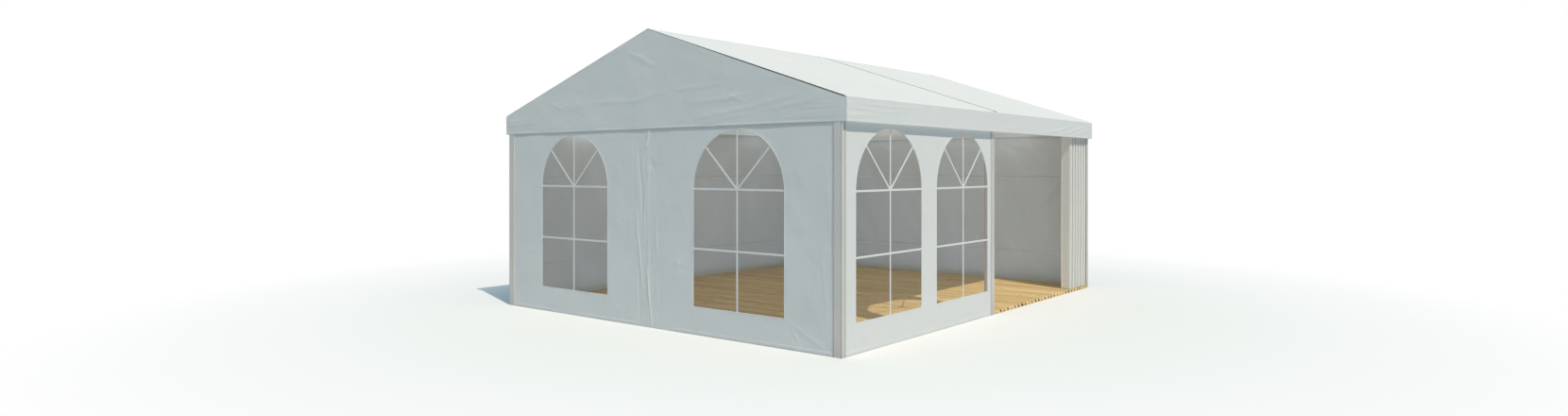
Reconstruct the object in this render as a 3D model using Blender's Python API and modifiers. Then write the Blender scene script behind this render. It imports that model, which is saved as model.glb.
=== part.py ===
"""Frame marquee with a ridged roof, 5 m wide and two 3 m bays long, on a timber deck.

X runs across the tent (+X is the side with the open bay), Y along it (the window gable
faces -Y) and Z up. The origin is on the ground under the middle of the tent.
"""
import math

import bmesh
import bpy
from mathutils import Matrix, Vector

# Driving dimensions in metres
WIDTH = 5.0
BAY = 3.0
BAY_COUNT = 2
POST_ACROSS = 0.10
POST_ALONG = 0.06
RIDGE_Z = 3.1635
EAVE_Z = 2.322
VALANCE_FOOT_Z = 2.098
SIDE_OVERHANG = 0.055
GABLE_OVERHANG = 0.0033

# Thicknesses and the seat that touching pieces keep
ROOF_CLOTH = 0.004
WALL_CLOTH = 0.004
COVER_CLOTH = 0.003
FILM = 0.0015
SEAT = 0.0003

# Frame sections
RAFTER_DEPTH = 0.10
EAVE_BEAM_ACROSS = 0.10
EAVE_BEAM_FOOT_Z = 2.21
RIDGE_BEAM_ACROSS = 0.06
RIDGE_BEAM_FOOT_Z = 3.06
GABLE_RAIL_ALONG = 0.04
GABLE_RAIL_FOOT_Z = 2.14
GABLE_RAIL_TOP_Z = 2.19
CORNER_ROUNDING = 0.003
CORNER_STEPS = 3
GROOVE_WIDTH = 0.005
GROOVE_DEPTH = 0.008
GROOVE_INSET = 0.0075
BEAM_ROUNDING = 0.002
ROOF_SEAM = 0.016

# Walls and windows
WALL_RECESS = 0.005
WALL_FOOT_Z = 0.005
WINDOW_WIDTH = 1.179
WINDOW_SILL_Z = 0.283
WINDOW_SPRING_Z = 1.473
ARCH_STEPS = 24
FILM_LAP = 0.02
GABLE_WINDOW_X = 1.2515
SIDE_WINDOW_YS = (-2.2105, -0.7235)

# Deck
DECK_TOP_Z = 0.035

# Gathered curtain beside the back post of the open bay, and the rail that it hangs from
CURTAIN_PLEATS = 6
CURTAIN_FRONT_Y = 2.385
CURTAIN_BACK_Y = 2.955
CURTAIN_INNER_X = 2.349
CURTAIN_DEEPENING = 0.03
CURTAIN_DEEPEST_X = 2.25
CURTAIN_OUTER_X = 2.495
CURTAIN_FOOT_Z = 0.040
RAIL_INNER_X = 2.41
RAIL_OUTER_X = 2.46
RAIL_FOOT_Z = 2.17

# Places worked out from the driving dimensions
HALF_WIDTH = WIDTH / 2
FRAME_YS = [BAY * (index - BAY_COUNT / 2) for index in range(BAY_COUNT + 1)]
GABLE_FACE = FRAME_YS[-1] + POST_ALONG / 2
EAVE_X = HALF_WIDTH + SIDE_OVERHANG
POST_INNER_X = HALF_WIDTH - POST_ACROSS
COVER_FACE = GABLE_FACE + GABLE_OVERHANG
ROOF_SLOPE = (RIDGE_Z - EAVE_Z) / EAVE_X
ROOF_ANGLE = math.atan(ROOF_SLOPE)
ROOF_CLOTH_DROP = ROOF_CLOTH / math.cos(ROOF_ANGLE)
RAFTER_DROP = RAFTER_DEPTH / math.cos(ROOF_ANGLE)
VALANCE_INNER_X = EAVE_X - COVER_CLOTH
SIDE_WALL_FACE = HALF_WIDTH - WALL_RECESS
GABLE_WALL_FACE = GABLE_FACE - WALL_RECESS

# Turns that lay a flat outline in the gable plane and in the side plane
IN_GABLE_PLANE = (math.radians(90), 0.0, 0.0)
IN_SIDE_PLANE = (math.radians(90), 0.0, math.radians(90))
IN_PLAN = (0.0, 0.0, 0.0)


def clear_scene():
    for item in list(bpy.data.objects):
        bpy.data.objects.remove(item, do_unlink=True)


def new_collection(name):
    collection = bpy.data.collections.new(name)
    bpy.context.scene.collection.children.link(collection)
    return collection


def make_material(name, color, roughness, metallic=0.0, alpha=1.0):
    material = bpy.data.materials.new(name)
    material.use_nodes = True
    shader = material.node_tree.nodes["Principled BSDF"]
    shader.inputs["Base Color"].default_value = (*color, 1.0)
    shader.inputs["Roughness"].default_value = roughness
    shader.inputs["Metallic"].default_value = metallic
    shader.inputs["Alpha"].default_value = alpha
    return material


# Outlines, as lists of points in their own plane

def roof_top_z(x):
    """Height of the roof cover's top face at a place across the tent."""
    return RIDGE_Z - ROOF_SLOPE * abs(x)


def frame_top_z(x):
    """Height of the frame's top face, just under the roof cover."""
    return roof_top_z(x) - ROOF_CLOTH_DROP - SEAT


def rectangle(low, high):
    return [(low[0], low[1]), (high[0], low[1]), (high[0], high[1]), (low[0], high[1])]


def mirrored(outline):
    return [(-across, up) for across, up in reversed(outline)]


def window_outline(centre, lap=0.0):
    """A window with a half-round head; lap widens it all round for the film."""
    radius = WINDOW_WIDTH / 2 + lap
    points = [(centre - radius, WINDOW_SILL_Z - lap), (centre + radius, WINDOW_SILL_Z - lap)]
    for step in range(ARCH_STEPS + 1):
        angle = math.pi * step / ARCH_STEPS
        points.append((centre + radius * math.cos(angle), WINDOW_SPRING_Z + radius * math.sin(angle)))
    return points


def post_outline():
    """Plan of a post: rounded corners and a keder groove near each end of every face."""
    half_across = POST_ACROSS / 2
    half_along = POST_ALONG / 2
    quarter = []
    for step in range(CORNER_STEPS + 1):
        angle = math.radians(90) * step / CORNER_STEPS
        quarter.append((half_across - CORNER_ROUNDING * (1 - math.cos(angle)),
                        half_along - CORNER_ROUNDING * (1 - math.sin(angle))))
    groove_end = half_across - GROOVE_INSET
    groove_start = groove_end - GROOVE_WIDTH
    quarter.append((groove_end, half_along))
    quarter.append((groove_end, half_along - GROOVE_DEPTH))
    quarter.append((groove_start, half_along - GROOVE_DEPTH))
    quarter.append((groove_start, half_along))
    left_quarter = [(-across, along) for across, along in reversed(quarter)]
    top_half = quarter + left_quarter
    bottom_half = [(across, -along) for across, along in reversed(top_half)]
    return top_half + bottom_half


def rafter_outline():
    """The right rafter in the gable plane, mitred at the ridge, cut upright at the eave."""
    ridge_x = SEAT / 2
    end_x = VALANCE_INNER_X - SEAT
    return [(ridge_x, frame_top_z(ridge_x) - RAFTER_DROP),
            (end_x, frame_top_z(end_x) - RAFTER_DROP),
            (end_x, frame_top_z(end_x)),
            (ridge_x, frame_top_z(ridge_x))]


def eave_beam_outline():
    """The right eave beam: its top follows the roof, its foot is level."""
    outer_x = VALANCE_INNER_X - SEAT
    inner_x = outer_x - EAVE_BEAM_ACROSS
    return [(inner_x, EAVE_BEAM_FOOT_Z),
            (outer_x, EAVE_BEAM_FOOT_Z),
            (outer_x, frame_top_z(outer_x)),
            (inner_x, frame_top_z(inner_x))]


def ridge_beam_outline():
    half = RIDGE_BEAM_ACROSS / 2
    return [(-half, RIDGE_BEAM_FOOT_Z),
            (half, RIDGE_BEAM_FOOT_Z),
            (half, frame_top_z(half)),
            (0.0, frame_top_z(0.0)),
            (-half, frame_top_z(half))]


def roof_outline():
    return [(-EAVE_X, EAVE_Z - ROOF_CLOTH_DROP),
            (0.0, RIDGE_Z - ROOF_CLOTH_DROP),
            (EAVE_X, EAVE_Z - ROOF_CLOTH_DROP),
            (EAVE_X, EAVE_Z),
            (0.0, RIDGE_Z),
            (-EAVE_X, EAVE_Z)]


def gable_cover_outline():
    """The gable's cloth: a triangle over a band as deep as the side valance."""
    return [(-EAVE_X, VALANCE_FOOT_Z),
            (EAVE_X, VALANCE_FOOT_Z),
            (EAVE_X, frame_top_z(EAVE_X)),
            (0.0, frame_top_z(0.0)),
            (-EAVE_X, frame_top_z(EAVE_X))]


def deck_outline(right_reach):
    """Plan of the deck of the front bay, notched round the posts."""
    inner_x = POST_INNER_X - SEAT
    left_reach = SIDE_WALL_FACE - WALL_CLOTH - SEAT
    gable_y = -(GABLE_WALL_FACE - WALL_CLOTH - SEAT)
    corner_y = FRAME_YS[0] + POST_ALONG / 2 + SEAT
    middle_y = FRAME_YS[1] - POST_ALONG / 2 - SEAT
    joint_y = FRAME_YS[1] - SEAT / 2
    return [(-inner_x, gable_y), (inner_x, gable_y), (inner_x, corner_y),
            (right_reach, corner_y), (right_reach, middle_y), (inner_x, middle_y),
            (inner_x, joint_y), (-inner_x, joint_y), (-inner_x, middle_y),
            (-left_reach, middle_y), (-left_reach, corner_y), (-inner_x, corner_y)]


# Makers of solids

def extruded(name, outlines, turn, start, end, material, collection):
    """A flat outline, with holes if more than one is given, extruded from start to end."""
    curve = bpy.data.curves.new(name, "CURVE")
    curve.dimensions = "2D"
    curve.fill_mode = "BOTH"
    curve.extrude = abs(end - start) / 2
    for outline in outlines:
        spline = curve.splines.new("POLY")
        spline.points.add(len(outline) - 1)
        for point, (across, up) in zip(spline.points, outline):
            point.co = (across, up, 0.0, 1.0)
        spline.use_cyclic_u = True
    curve.materials.append(material)
    item = bpy.data.objects.new(name, curve)
    item.rotation_euler = turn
    middle = (start + end) / 2
    if turn == IN_GABLE_PLANE:
        item.location = (0.0, middle, 0.0)
    elif turn == IN_SIDE_PLANE:
        item.location = (middle, 0.0, 0.0)
    else:
        item.location = (0.0, 0.0, middle)
    collection.objects.link(item)
    return item


def box(name, low, high, material, collection, rounding=0.0):
    mesh = bpy.data.meshes.new(name)
    shape = bmesh.new()
    size = [top - bottom for bottom, top in zip(low, high)]
    bmesh.ops.create_cube(shape, size=1.0, matrix=Matrix.Diagonal((*size, 1.0)))
    shape.to_mesh(mesh)
    shape.free()
    mesh.materials.append(material)
    item = bpy.data.objects.new(name, mesh)
    item.location = [(bottom + top) / 2 for bottom, top in zip(low, high)]
    collection.objects.link(item)
    if rounding:
        bevel = item.modifiers.new("rounded edges", "BEVEL")
        bevel.width = rounding
        bevel.segments = 2
    return item


def meshed(item):
    """Turn a curve object into a mesh object with welded caps, so that it can be cut."""
    graph = bpy.context.evaluated_depsgraph_get()
    mesh = bpy.data.meshes.new_from_object(item.evaluated_get(graph))
    shape = bmesh.new()
    shape.from_mesh(mesh)
    bmesh.ops.remove_doubles(shape, verts=shape.verts, dist=0.00005)
    bmesh.ops.recalc_face_normals(shape, faces=shape.faces)
    shape.to_mesh(mesh)
    shape.free()
    name = item.name
    solid = bpy.data.objects.new(name + "_solid", mesh)
    solid.matrix_world = item.matrix_world.copy()
    for collection in item.users_collection:
        collection.objects.link(solid)
    bpy.data.objects.remove(item, do_unlink=True)
    solid.name = name
    return solid


# Pieces

def make_posts(metal, tent, cutters):
    """Six posts whose heads are cut to the slope of the rafters that they carry."""
    head_z = frame_top_z(HALF_WIDTH) - RAFTER_DROP - SEAT
    spare = 0.1
    cutter_size = 0.4
    for row, y in zip(("front", "mid", "back"), FRAME_YS):
        for side, sign in (("left", -1), ("right", 1)):
            name = f"post_{row}_{side}"
            post = extruded(name, [post_outline()], IN_PLAN, 0.0, head_z + spare, metal, tent)
            post.location.x = sign * (HALF_WIDTH - POST_ACROSS / 2)
            post.location.y = y
            bpy.context.view_layer.update()
            post = meshed(post)
            half = cutter_size / 2
            cutter = box(f"cutter_{name}", (-half, -half, -half), (half, half, half), metal, cutters)
            cutter.rotation_euler = (0.0, sign * ROOF_ANGLE, 0.0)
            edge = Vector((sign * HALF_WIDTH, y, head_z))
            normal = Vector((sign * math.sin(ROOF_ANGLE), 0.0, math.cos(ROOF_ANGLE)))
            cutter.location = edge + normal * half
            cutter.hide_render = True
            cutter.display_type = "WIRE"
            cut = post.modifiers.new("sloped head", "BOOLEAN")
            cut.operation = "DIFFERENCE"
            cut.solver = "EXACT"
            cut.object = cutter


def make_frame(metal, tent):
    """Rafters over the posts, ridge and eave beams between them, and a rail at each gable."""
    for row, y in zip(("front", "mid", "back"), FRAME_YS):
        start = y - POST_ALONG / 2
        end = y + POST_ALONG / 2
        extruded(f"rafter_{row}_left", [mirrored(rafter_outline())], IN_GABLE_PLANE, start, end, metal, tent)
        extruded(f"rafter_{row}_right", [rafter_outline()], IN_GABLE_PLANE, start, end, metal, tent)
    for bay, y in zip(("front", "back"), FRAME_YS):
        start = y + POST_ALONG / 2 + SEAT
        end = y + BAY - POST_ALONG / 2 - SEAT
        extruded(f"ridge_beam_{bay}", [ridge_beam_outline()], IN_GABLE_PLANE, start, end, metal, tent)
        extruded(f"eave_beam_{bay}_left", [mirrored(eave_beam_outline())], IN_GABLE_PLANE,
                 start, end, metal, tent)
        extruded(f"eave_beam_{bay}_right", [eave_beam_outline()], IN_GABLE_PLANE, start, end, metal, tent)
    rail_x = POST_INNER_X - SEAT
    for gable, sign in (("front", -1), ("back", 1)):
        ys = sorted((sign * GABLE_FACE, sign * (GABLE_FACE - GABLE_RAIL_ALONG)))
        box(f"gable_rail_{gable}", (-rail_x, ys[0], GABLE_RAIL_FOOT_Z), (rail_x, ys[1], GABLE_RAIL_TOP_Z),
            metal, tent, BEAM_ROUNDING)


def make_roof(cloth, tent):
    """One cover a bay, laid over the ridge; the frame shows in the seam between them."""
    seam = ROOF_SEAM / 2
    extruded("roof_cover_front", [roof_outline()], IN_GABLE_PLANE, -COVER_FACE, -seam, cloth, tent)
    extruded("roof_cover_back", [roof_outline()], IN_GABLE_PLANE, seam, COVER_FACE, cloth, tent)


def make_covers(cloth, tent):
    """The cloth of both gables and the valance down each long side."""
    top_z = frame_top_z(EAVE_X)
    for side, sign in (("left", -1), ("right", 1)):
        xs = sorted((sign * VALANCE_INNER_X, sign * EAVE_X))
        box(f"valance_{side}", (xs[0], -GABLE_FACE, VALANCE_FOOT_Z), (xs[1], GABLE_FACE, top_z), cloth, tent)
    inner = COVER_FACE - COVER_CLOTH
    for gable, sign in (("front", -1), ("back", 1)):
        extruded(f"gable_cover_{gable}", [gable_cover_outline()], IN_GABLE_PLANE,
                 sign * COVER_FACE, sign * inner, cloth, tent)


def make_gable_walls(cloth, film, tent):
    """Two panels a gable, meeting at the middle; the front ones have a window each."""
    top_z = GABLE_RAIL_FOOT_Z - SEAT
    for gable, end_sign in (("front", -1), ("back", 1)):
        outer = end_sign * GABLE_WALL_FACE
        inner = end_sign * (GABLE_WALL_FACE - WALL_CLOTH)
        for side, sign in (("left", -1), ("right", 1)):
            xs = sorted((sign * SEAT / 2, sign * (POST_INNER_X - SEAT)))
            outlines = [rectangle((xs[0], WALL_FOOT_Z), (xs[1], top_z))]
            if gable == "front":
                centre = sign * GABLE_WINDOW_X
                outlines.append(window_outline(centre))
                film_face = inner + SEAT
                extruded(f"window_gable_{side}", [window_outline(centre, FILM_LAP)], IN_GABLE_PLANE,
                         film_face, film_face + FILM, film, tent)
            extruded(f"gable_wall_{gable}_{side}", outlines, IN_GABLE_PLANE, outer, inner, cloth, tent)


def make_side_walls(cloth, film, tent):
    """Plain walls down the left side, and the wall with two windows on the right."""
    top_z = EAVE_BEAM_FOOT_Z - SEAT
    for bay, y in zip(("front", "back"), FRAME_YS):
        start = y + POST_ALONG / 2 + SEAT
        end = y + BAY - POST_ALONG / 2 - SEAT
        panel = rectangle((start, WALL_FOOT_Z), (end, top_z))
        extruded(f"side_wall_left_{bay}", [panel], IN_SIDE_PLANE,
                 -SIDE_WALL_FACE, -SIDE_WALL_FACE + WALL_CLOTH, cloth, tent)
        if bay == "front":
            outlines = [panel] + [window_outline(centre) for centre in SIDE_WINDOW_YS]
            inner = SIDE_WALL_FACE - WALL_CLOTH
            extruded("side_wall_right_front", outlines, IN_SIDE_PLANE, inner, SIDE_WALL_FACE, cloth, tent)
            film_face = inner - SEAT
            for place, centre in zip(("front", "back"), SIDE_WINDOW_YS):
                extruded(f"window_side_{place}", [window_outline(centre, FILM_LAP)], IN_SIDE_PLANE,
                         film_face - FILM, film_face, film, tent)


def make_curtain(cloth, metal, tent):
    """The open bay's curtain, folded back in pleats that get deeper towards the back post, and its rail."""
    folds = 2 * CURTAIN_PLEATS
    step = (CURTAIN_BACK_Y - CURTAIN_FRONT_Y) / folds
    shape = bmesh.new()
    line = []
    for fold in range(folds + 1):
        inner = max(CURTAIN_DEEPEST_X, CURTAIN_INNER_X - CURTAIN_DEEPENING * fold / 2)
        x = CURTAIN_OUTER_X if fold % 2 else inner
        line.append(shape.verts.new((x, CURTAIN_FRONT_Y + step * fold, CURTAIN_FOOT_Z)))
    edges = [shape.edges.new(pair) for pair in zip(line, line[1:])]
    raised = bmesh.ops.extrude_edge_only(shape, edges=edges)["geom"]
    raised_points = [item for item in raised if isinstance(item, bmesh.types.BMVert)]
    height = RAIL_FOOT_Z - SEAT - CURTAIN_FOOT_Z
    bmesh.ops.translate(shape, verts=raised_points, vec=(0.0, 0.0, height))
    bmesh.ops.recalc_face_normals(shape, faces=shape.faces)
    mesh = bpy.data.meshes.new("curtain")
    shape.to_mesh(mesh)
    shape.free()
    mesh.materials.append(cloth)
    curtain = bpy.data.objects.new("curtain", mesh)
    tent.objects.link(curtain)
    thickness = curtain.modifiers.new("cloth thickness", "SOLIDIFY")
    thickness.thickness = WALL_CLOTH
    thickness.offset = 0.0
    start = FRAME_YS[1] + POST_ALONG / 2 + SEAT
    end = FRAME_YS[2] - POST_ALONG / 2 - SEAT
    box("curtain_rail", (RAIL_INNER_X, start, RAIL_FOOT_Z),
        (RAIL_OUTER_X, end, EAVE_BEAM_FOOT_Z - SEAT), metal, tent, BEAM_ROUNDING)


def make_deck(wood, tent):
    """A timber deck in each bay; in the open bay it runs out to the face of the posts."""
    wall_reach = SIDE_WALL_FACE - WALL_CLOTH - SEAT
    extruded("deck_front", [deck_outline(wall_reach)], IN_PLAN, 0.0, DECK_TOP_Z, wood, tent)
    turned = [(across, -along) for across, along in reversed(deck_outline(HALF_WIDTH))]
    extruded("deck_back", [turned], IN_PLAN, 0.0, DECK_TOP_Z, wood, tent)


def build():
    clear_scene()
    tent = new_collection("marquee_tent")
    cutters = new_collection("cutters")
    metal = make_material("frame_aluminium", (0.42, 0.42, 0.41), 0.45, metallic=0.6)
    roof_cloth = make_material("roof_cloth", (0.82, 0.83, 0.82), 0.6)
    wall_cloth = make_material("wall_cloth", (0.72, 0.74, 0.73), 0.6)
    film = make_material("window_film", (0.55, 0.55, 0.53), 0.15, alpha=0.35)
    wood = make_material("deck_wood", (0.55, 0.38, 0.18), 0.7)
    make_posts(metal, tent, cutters)
    make_frame(metal, tent)
    make_roof(roof_cloth, tent)
    make_covers(wall_cloth, tent)
    make_gable_walls(wall_cloth, film, tent)
    make_side_walls(wall_cloth, film, tent)
    make_curtain(wall_cloth, metal, tent)
    make_deck(wood, tent)


build()
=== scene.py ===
# %% [markdown]
# # A frame marquee, dressed for its picture
#
# The CAD model brings the posts, rafters, beams and rails at their true places. This lesson adds what
# makes them a marquee: coated cloth pulled over the frame, clear windows welded into the walls, a
# gathered curtain and a floor of pine boards. Every piece takes its place from the boxes of the CAD
# nodes, so nothing has to be fitted by eye.

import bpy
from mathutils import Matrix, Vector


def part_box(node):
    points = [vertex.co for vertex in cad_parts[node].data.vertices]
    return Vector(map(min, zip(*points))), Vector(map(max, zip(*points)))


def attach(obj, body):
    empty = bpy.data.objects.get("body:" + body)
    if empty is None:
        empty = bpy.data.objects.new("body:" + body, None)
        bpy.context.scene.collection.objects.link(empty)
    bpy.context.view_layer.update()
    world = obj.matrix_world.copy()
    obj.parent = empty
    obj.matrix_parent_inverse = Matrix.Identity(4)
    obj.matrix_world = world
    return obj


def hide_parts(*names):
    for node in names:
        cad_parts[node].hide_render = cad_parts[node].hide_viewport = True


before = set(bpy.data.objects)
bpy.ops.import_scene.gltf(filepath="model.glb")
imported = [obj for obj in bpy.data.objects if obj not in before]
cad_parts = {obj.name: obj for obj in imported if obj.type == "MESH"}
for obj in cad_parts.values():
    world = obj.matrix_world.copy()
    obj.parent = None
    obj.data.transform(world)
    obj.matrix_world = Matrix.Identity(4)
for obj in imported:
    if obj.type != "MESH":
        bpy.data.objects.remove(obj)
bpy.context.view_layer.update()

# %% Tools for the rest of the lesson
import math
import random

import bmesh
import bpy
import numpy as np
from mathutils import Vector
from mathutils.geometry import delaunay_2d_cdt

scene = bpy.context.scene
scene.view_settings.view_transform = "Standard"
tent = bpy.data.collections.new("marquee_dressing")
scene.collection.children.link(tent)
print("collection for the dressing:", tent.name)

# %% [markdown]
# ## Camera
#
# The photograph was taken from eye height at the near right corner. A camera could be placed by trial,
# but here its place, turn and focal length were solved from 35 corner points of the tent. The horizon
# lies a little above the middle of the picture, which a small shift gives without tilting the camera,
# so the posts stay upright.

# %% Camera
PHOTO_WIDTH = 1660
PHOTO_HEIGHT = 440
FOCAL_PIXELS = 944.964
HORIZON_ROW = 178.0
SENSOR = 36.0
CAMERA_PLACE = (7.0317, -9.5115, 1.682)
CAMERA_TURN = 0.675

lens = bpy.data.cameras.new("photo_camera")
lens.sensor_width = SENSOR
lens.lens = SENSOR * FOCAL_PIXELS / PHOTO_WIDTH
lens.shift_y = (HORIZON_ROW - PHOTO_HEIGHT / 2) / PHOTO_WIDTH
camera = bpy.data.objects.new("photo_camera", lens)
camera.location = CAMERA_PLACE
camera.rotation_euler = (math.radians(90), 0.0, CAMERA_TURN)
scene.collection.objects.link(camera)
scene.camera = camera
print("focal length in millimetres:", round(lens.lens, 2))

# %% [markdown]
# ## Helpers for materials
#
# A material or a sky is a small network of nodes. Written out link by link it is hard to read, so a few
# helpers keep it short: one adds a node and fills or links its inputs, one does arithmetic, and the
# others mix colours, mix surfaces and stretch values.

# %% Node helpers


def put(tree, socket, value):
    """Link a socket to another one, or give it a plain value."""
    if isinstance(value, bpy.types.NodeSocket):
        tree.links.new(value, socket)
    else:
        socket.default_value = value


def add_node(tree, kind, inputs=None, **settings):
    """A node; its inputs are named or numbered."""
    node = tree.nodes.new(kind)
    for name, value in settings.items():
        setattr(node, name, value)
    for name, value in (inputs or {}).items():
        put(tree, node.inputs[name], value)
    return node


def figure(tree, operation, *values, clamped=False):
    """The result of one arithmetic step."""
    inputs = dict(enumerate(values))
    return add_node(tree, "ShaderNodeMath", inputs, operation=operation, use_clamp=clamped).outputs[0]


def mixed(tree, share, first, second):
    """A colour between two colours."""
    inputs = {0: share, 6: first, 7: second}
    return add_node(tree, "ShaderNodeMix", inputs, data_type="RGBA").outputs[2]


def blended(tree, share, first, second):
    """A surface between two surfaces."""
    return add_node(tree, "ShaderNodeMixShader", {0: share, 1: first, 2: second}).outputs[0]


def between(tree, value, low, high, new_low=0.0, new_high=1.0):
    """A value stretched from one range to another and held inside it."""
    inputs = {"Value": value, "From Min": low, "From Max": high, "To Min": new_low, "To Max": new_high}
    return add_node(tree, "ShaderNodeMapRange", inputs).outputs[0]


def cloudy(tree, vector, scale, detail=3.0, roughness=0.5, distortion=0.0):
    inputs = {"Vector": vector, "Scale": scale, "Detail": detail,
              "Roughness": roughness, "Distortion": distortion}
    return add_node(tree, "ShaderNodeTexNoise", inputs).outputs[0]


print("material helpers are ready")

# %% Vector helpers


def vector_step(tree, operation, *values):
    inputs = dict(enumerate(values))
    return add_node(tree, "ShaderNodeVectorMath", inputs, operation=operation).outputs


def scaled(tree, vector, factors):
    return vector_step(tree, "MULTIPLY", vector, factors)[0]


def split_up(tree, vector):
    return add_node(tree, "ShaderNodeSeparateXYZ", {"Vector": vector}).outputs


print("vector helpers are ready")

# %% [markdown]
# ## Light
#
# White cloth shows its folds only where light comes from one side more than from the other. A single
# soft lamp would leave the gable dull, and an even white room would erase the folds. So a sun of its
# real size stands high on the right, as the crisp shadows on the boards and under the valance ask, and
# a pale, faintly blue sky fills the shade. Thin cloth also lets light through, which no opaque sheet
# does, so flat lamps that the camera can't see stand for that light. A wide one shines up at the roof,
# which passes its light on to the walls. A second one just above the boards evens the walls out. Four
# narrow ones give the tops of the back and left walls the glow that they have in the picture, and one
# behind the valance softens the shadow below it.

# %% Sizes and powers of the glow lamps
TOP_GLOW_COLOUR = (0.93, 1.0, 1.0)
INSIDE = (4.86, 5.9)
valance_low, valance_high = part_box("valance_right")
VALANCE_GLOW_SIZE = (0.10, valance_high.y - valance_low.y - 0.1)
VALANCE_GLOW_PLACE = (valance_low.x - 0.004, 0.0, valance_low.z + 0.055)

# Each lamp has its power, colour, size, place, and turn in degrees.
GLOWS = {
    "roof_glow": (35.3, (1.0, 1.0, 0.915), INSIDE, (0.0, 0.0, 2.2), (180, 0, 0)),
    "floor_glow": (20.5, (0.619, 0.751, 1.0), INSIDE, (0.0, 0.0, 0.07), (180, 0, 0)),
    "wall_glow": (0.38, TOP_GLOW_COLOUR, (3.6, 0.06), (-0.2, 2.82, 2.17), (85, 0, 0)),
    "bay_glow": (0.17, TOP_GLOW_COLOUR, (0.6, 0.06), (1.35, 2.82, 2.17), (85, 0, 0)),
    "left_front_glow": (0.16, TOP_GLOW_COLOUR, (0.06, 0.4), (-2.31, -1.95, 2.16), (0, 85, 0)),
    "left_back_glow": (0.14, TOP_GLOW_COLOUR, (0.06, 1.2), (-2.31, 1.9, 2.16), (0, 85, 0)),
    "valance_glow": (0.818, (0.853, 0.981, 1.0), VALANCE_GLOW_SIZE, VALANCE_GLOW_PLACE, (0, -90, 180)),
}
print("glow lamps:", len(GLOWS))

# %% Sun and glow lamps
SUN_DIRECTION = Vector((0.555, -0.207, 0.805))
SUN_STRENGTH = 2.606
SUN_COLOUR = (1.0, 0.923, 0.792)
SUN_ANGLE = 0.55


def add_lamp(name, kind, power, colour):
    light = bpy.data.lights.new(name, kind)
    light.energy = power
    light.color = colour
    lamp = bpy.data.objects.new(name, light)
    scene.collection.objects.link(lamp)
    return lamp


sun = add_lamp("sun", "SUN", SUN_STRENGTH, SUN_COLOUR)
sun.data.angle = math.radians(SUN_ANGLE)
sun.rotation_euler = SUN_DIRECTION.to_track_quat("Z", "Y").to_euler()

for name, (power, colour, size, place, turn) in GLOWS.items():
    panel = add_lamp(name, "AREA", power, colour)
    panel.data.shape = "RECTANGLE"
    panel.data.size, panel.data.size_y = size
    panel.location = place
    panel.rotation_euler = [math.radians(angle) for angle in turn]
    panel.visible_camera = False
print("sun height in degrees:", round(math.degrees(math.asin(SUN_DIRECTION.normalized().z)), 1))

# %% Sky and white backdrop
SKY_COLOUR = (0.291, 0.422, 0.496, 1.0)
WHITE = (1.0, 1.0, 1.0, 1.0)

scene.world = bpy.data.worlds.new("soft_sky")
scene.world.use_nodes = True
tree = scene.world.node_tree
tree.nodes.clear()
sky = add_node(tree, "ShaderNodeBackground", {"Color": SKY_COLOUR})
backdrop = add_node(tree, "ShaderNodeBackground", {"Color": WHITE})
seen = add_node(tree, "ShaderNodeLightPath").outputs["Is Camera Ray"]
add_node(tree, "ShaderNodeOutputWorld",
         {"Surface": blended(tree, seen, sky.outputs[0], backdrop.outputs[0])})
print("sky colour:", SKY_COLOUR[:3])

# %% [markdown]
# ## Effects that several finishes share
#
# Weave, creases, dust, drawn streaks and worn edges come back in several materials. Each is built once
# as a node group with named inputs, and every material sets its own values. The groups put out only
# heights, masks and tones; the surface shader stays in the material, where an exporter can read it.

# %% Start of a node group


def start_group(name, inputs, outputs):
    """An empty group with named inputs, each with its kind and first value, and named outputs."""
    group = bpy.data.node_groups.new(name, "ShaderNodeTree")
    for label, kind, value in inputs:
        socket = group.interface.new_socket(label, in_out="INPUT", socket_type=kind)
        socket.default_value = value
    for label, kind in outputs:
        group.interface.new_socket(label, in_out="OUTPUT", socket_type=kind)
    entry = group.nodes.new("NodeGroupInput")
    result = group.nodes.new("NodeGroupOutput")
    return group, entry.outputs, result.inputs


def use_group(tree, group, **values):
    node = add_node(tree, "ShaderNodeGroup", node_tree=group)
    for name, value in values.items():
        put(tree, node.inputs[name.replace("_", " ")], value)
    return node.outputs


FLOAT = "NodeSocketFloat"
VECTOR = "NodeSocketVector"
ORIGIN = (0.0, 0.0, 0.0)
print("node groups can be started")

# %% Weave of the base fabric under its coating
weave_group, given, result = start_group(
    "base weave", [("Vector", VECTOR, ORIGIN), ("Pitch", FLOAT, 0.0012)], [("Height", FLOAT)])
pace = figure(weave_group, "DIVIDE", 2 * math.pi, given["Pitch"])
waves = [figure(weave_group, "SINE", figure(weave_group, "MULTIPLY", axis, pace))
         for axis in split_up(weave_group, given["Vector"])]
total = figure(weave_group, "ADD", figure(weave_group, "ADD", waves[0], waves[1]), waves[2])
put(weave_group, result["Height"], between(weave_group, total, -3.0, 3.0))
print(weave_group.name, "nodes:", len(weave_group.nodes))

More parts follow.
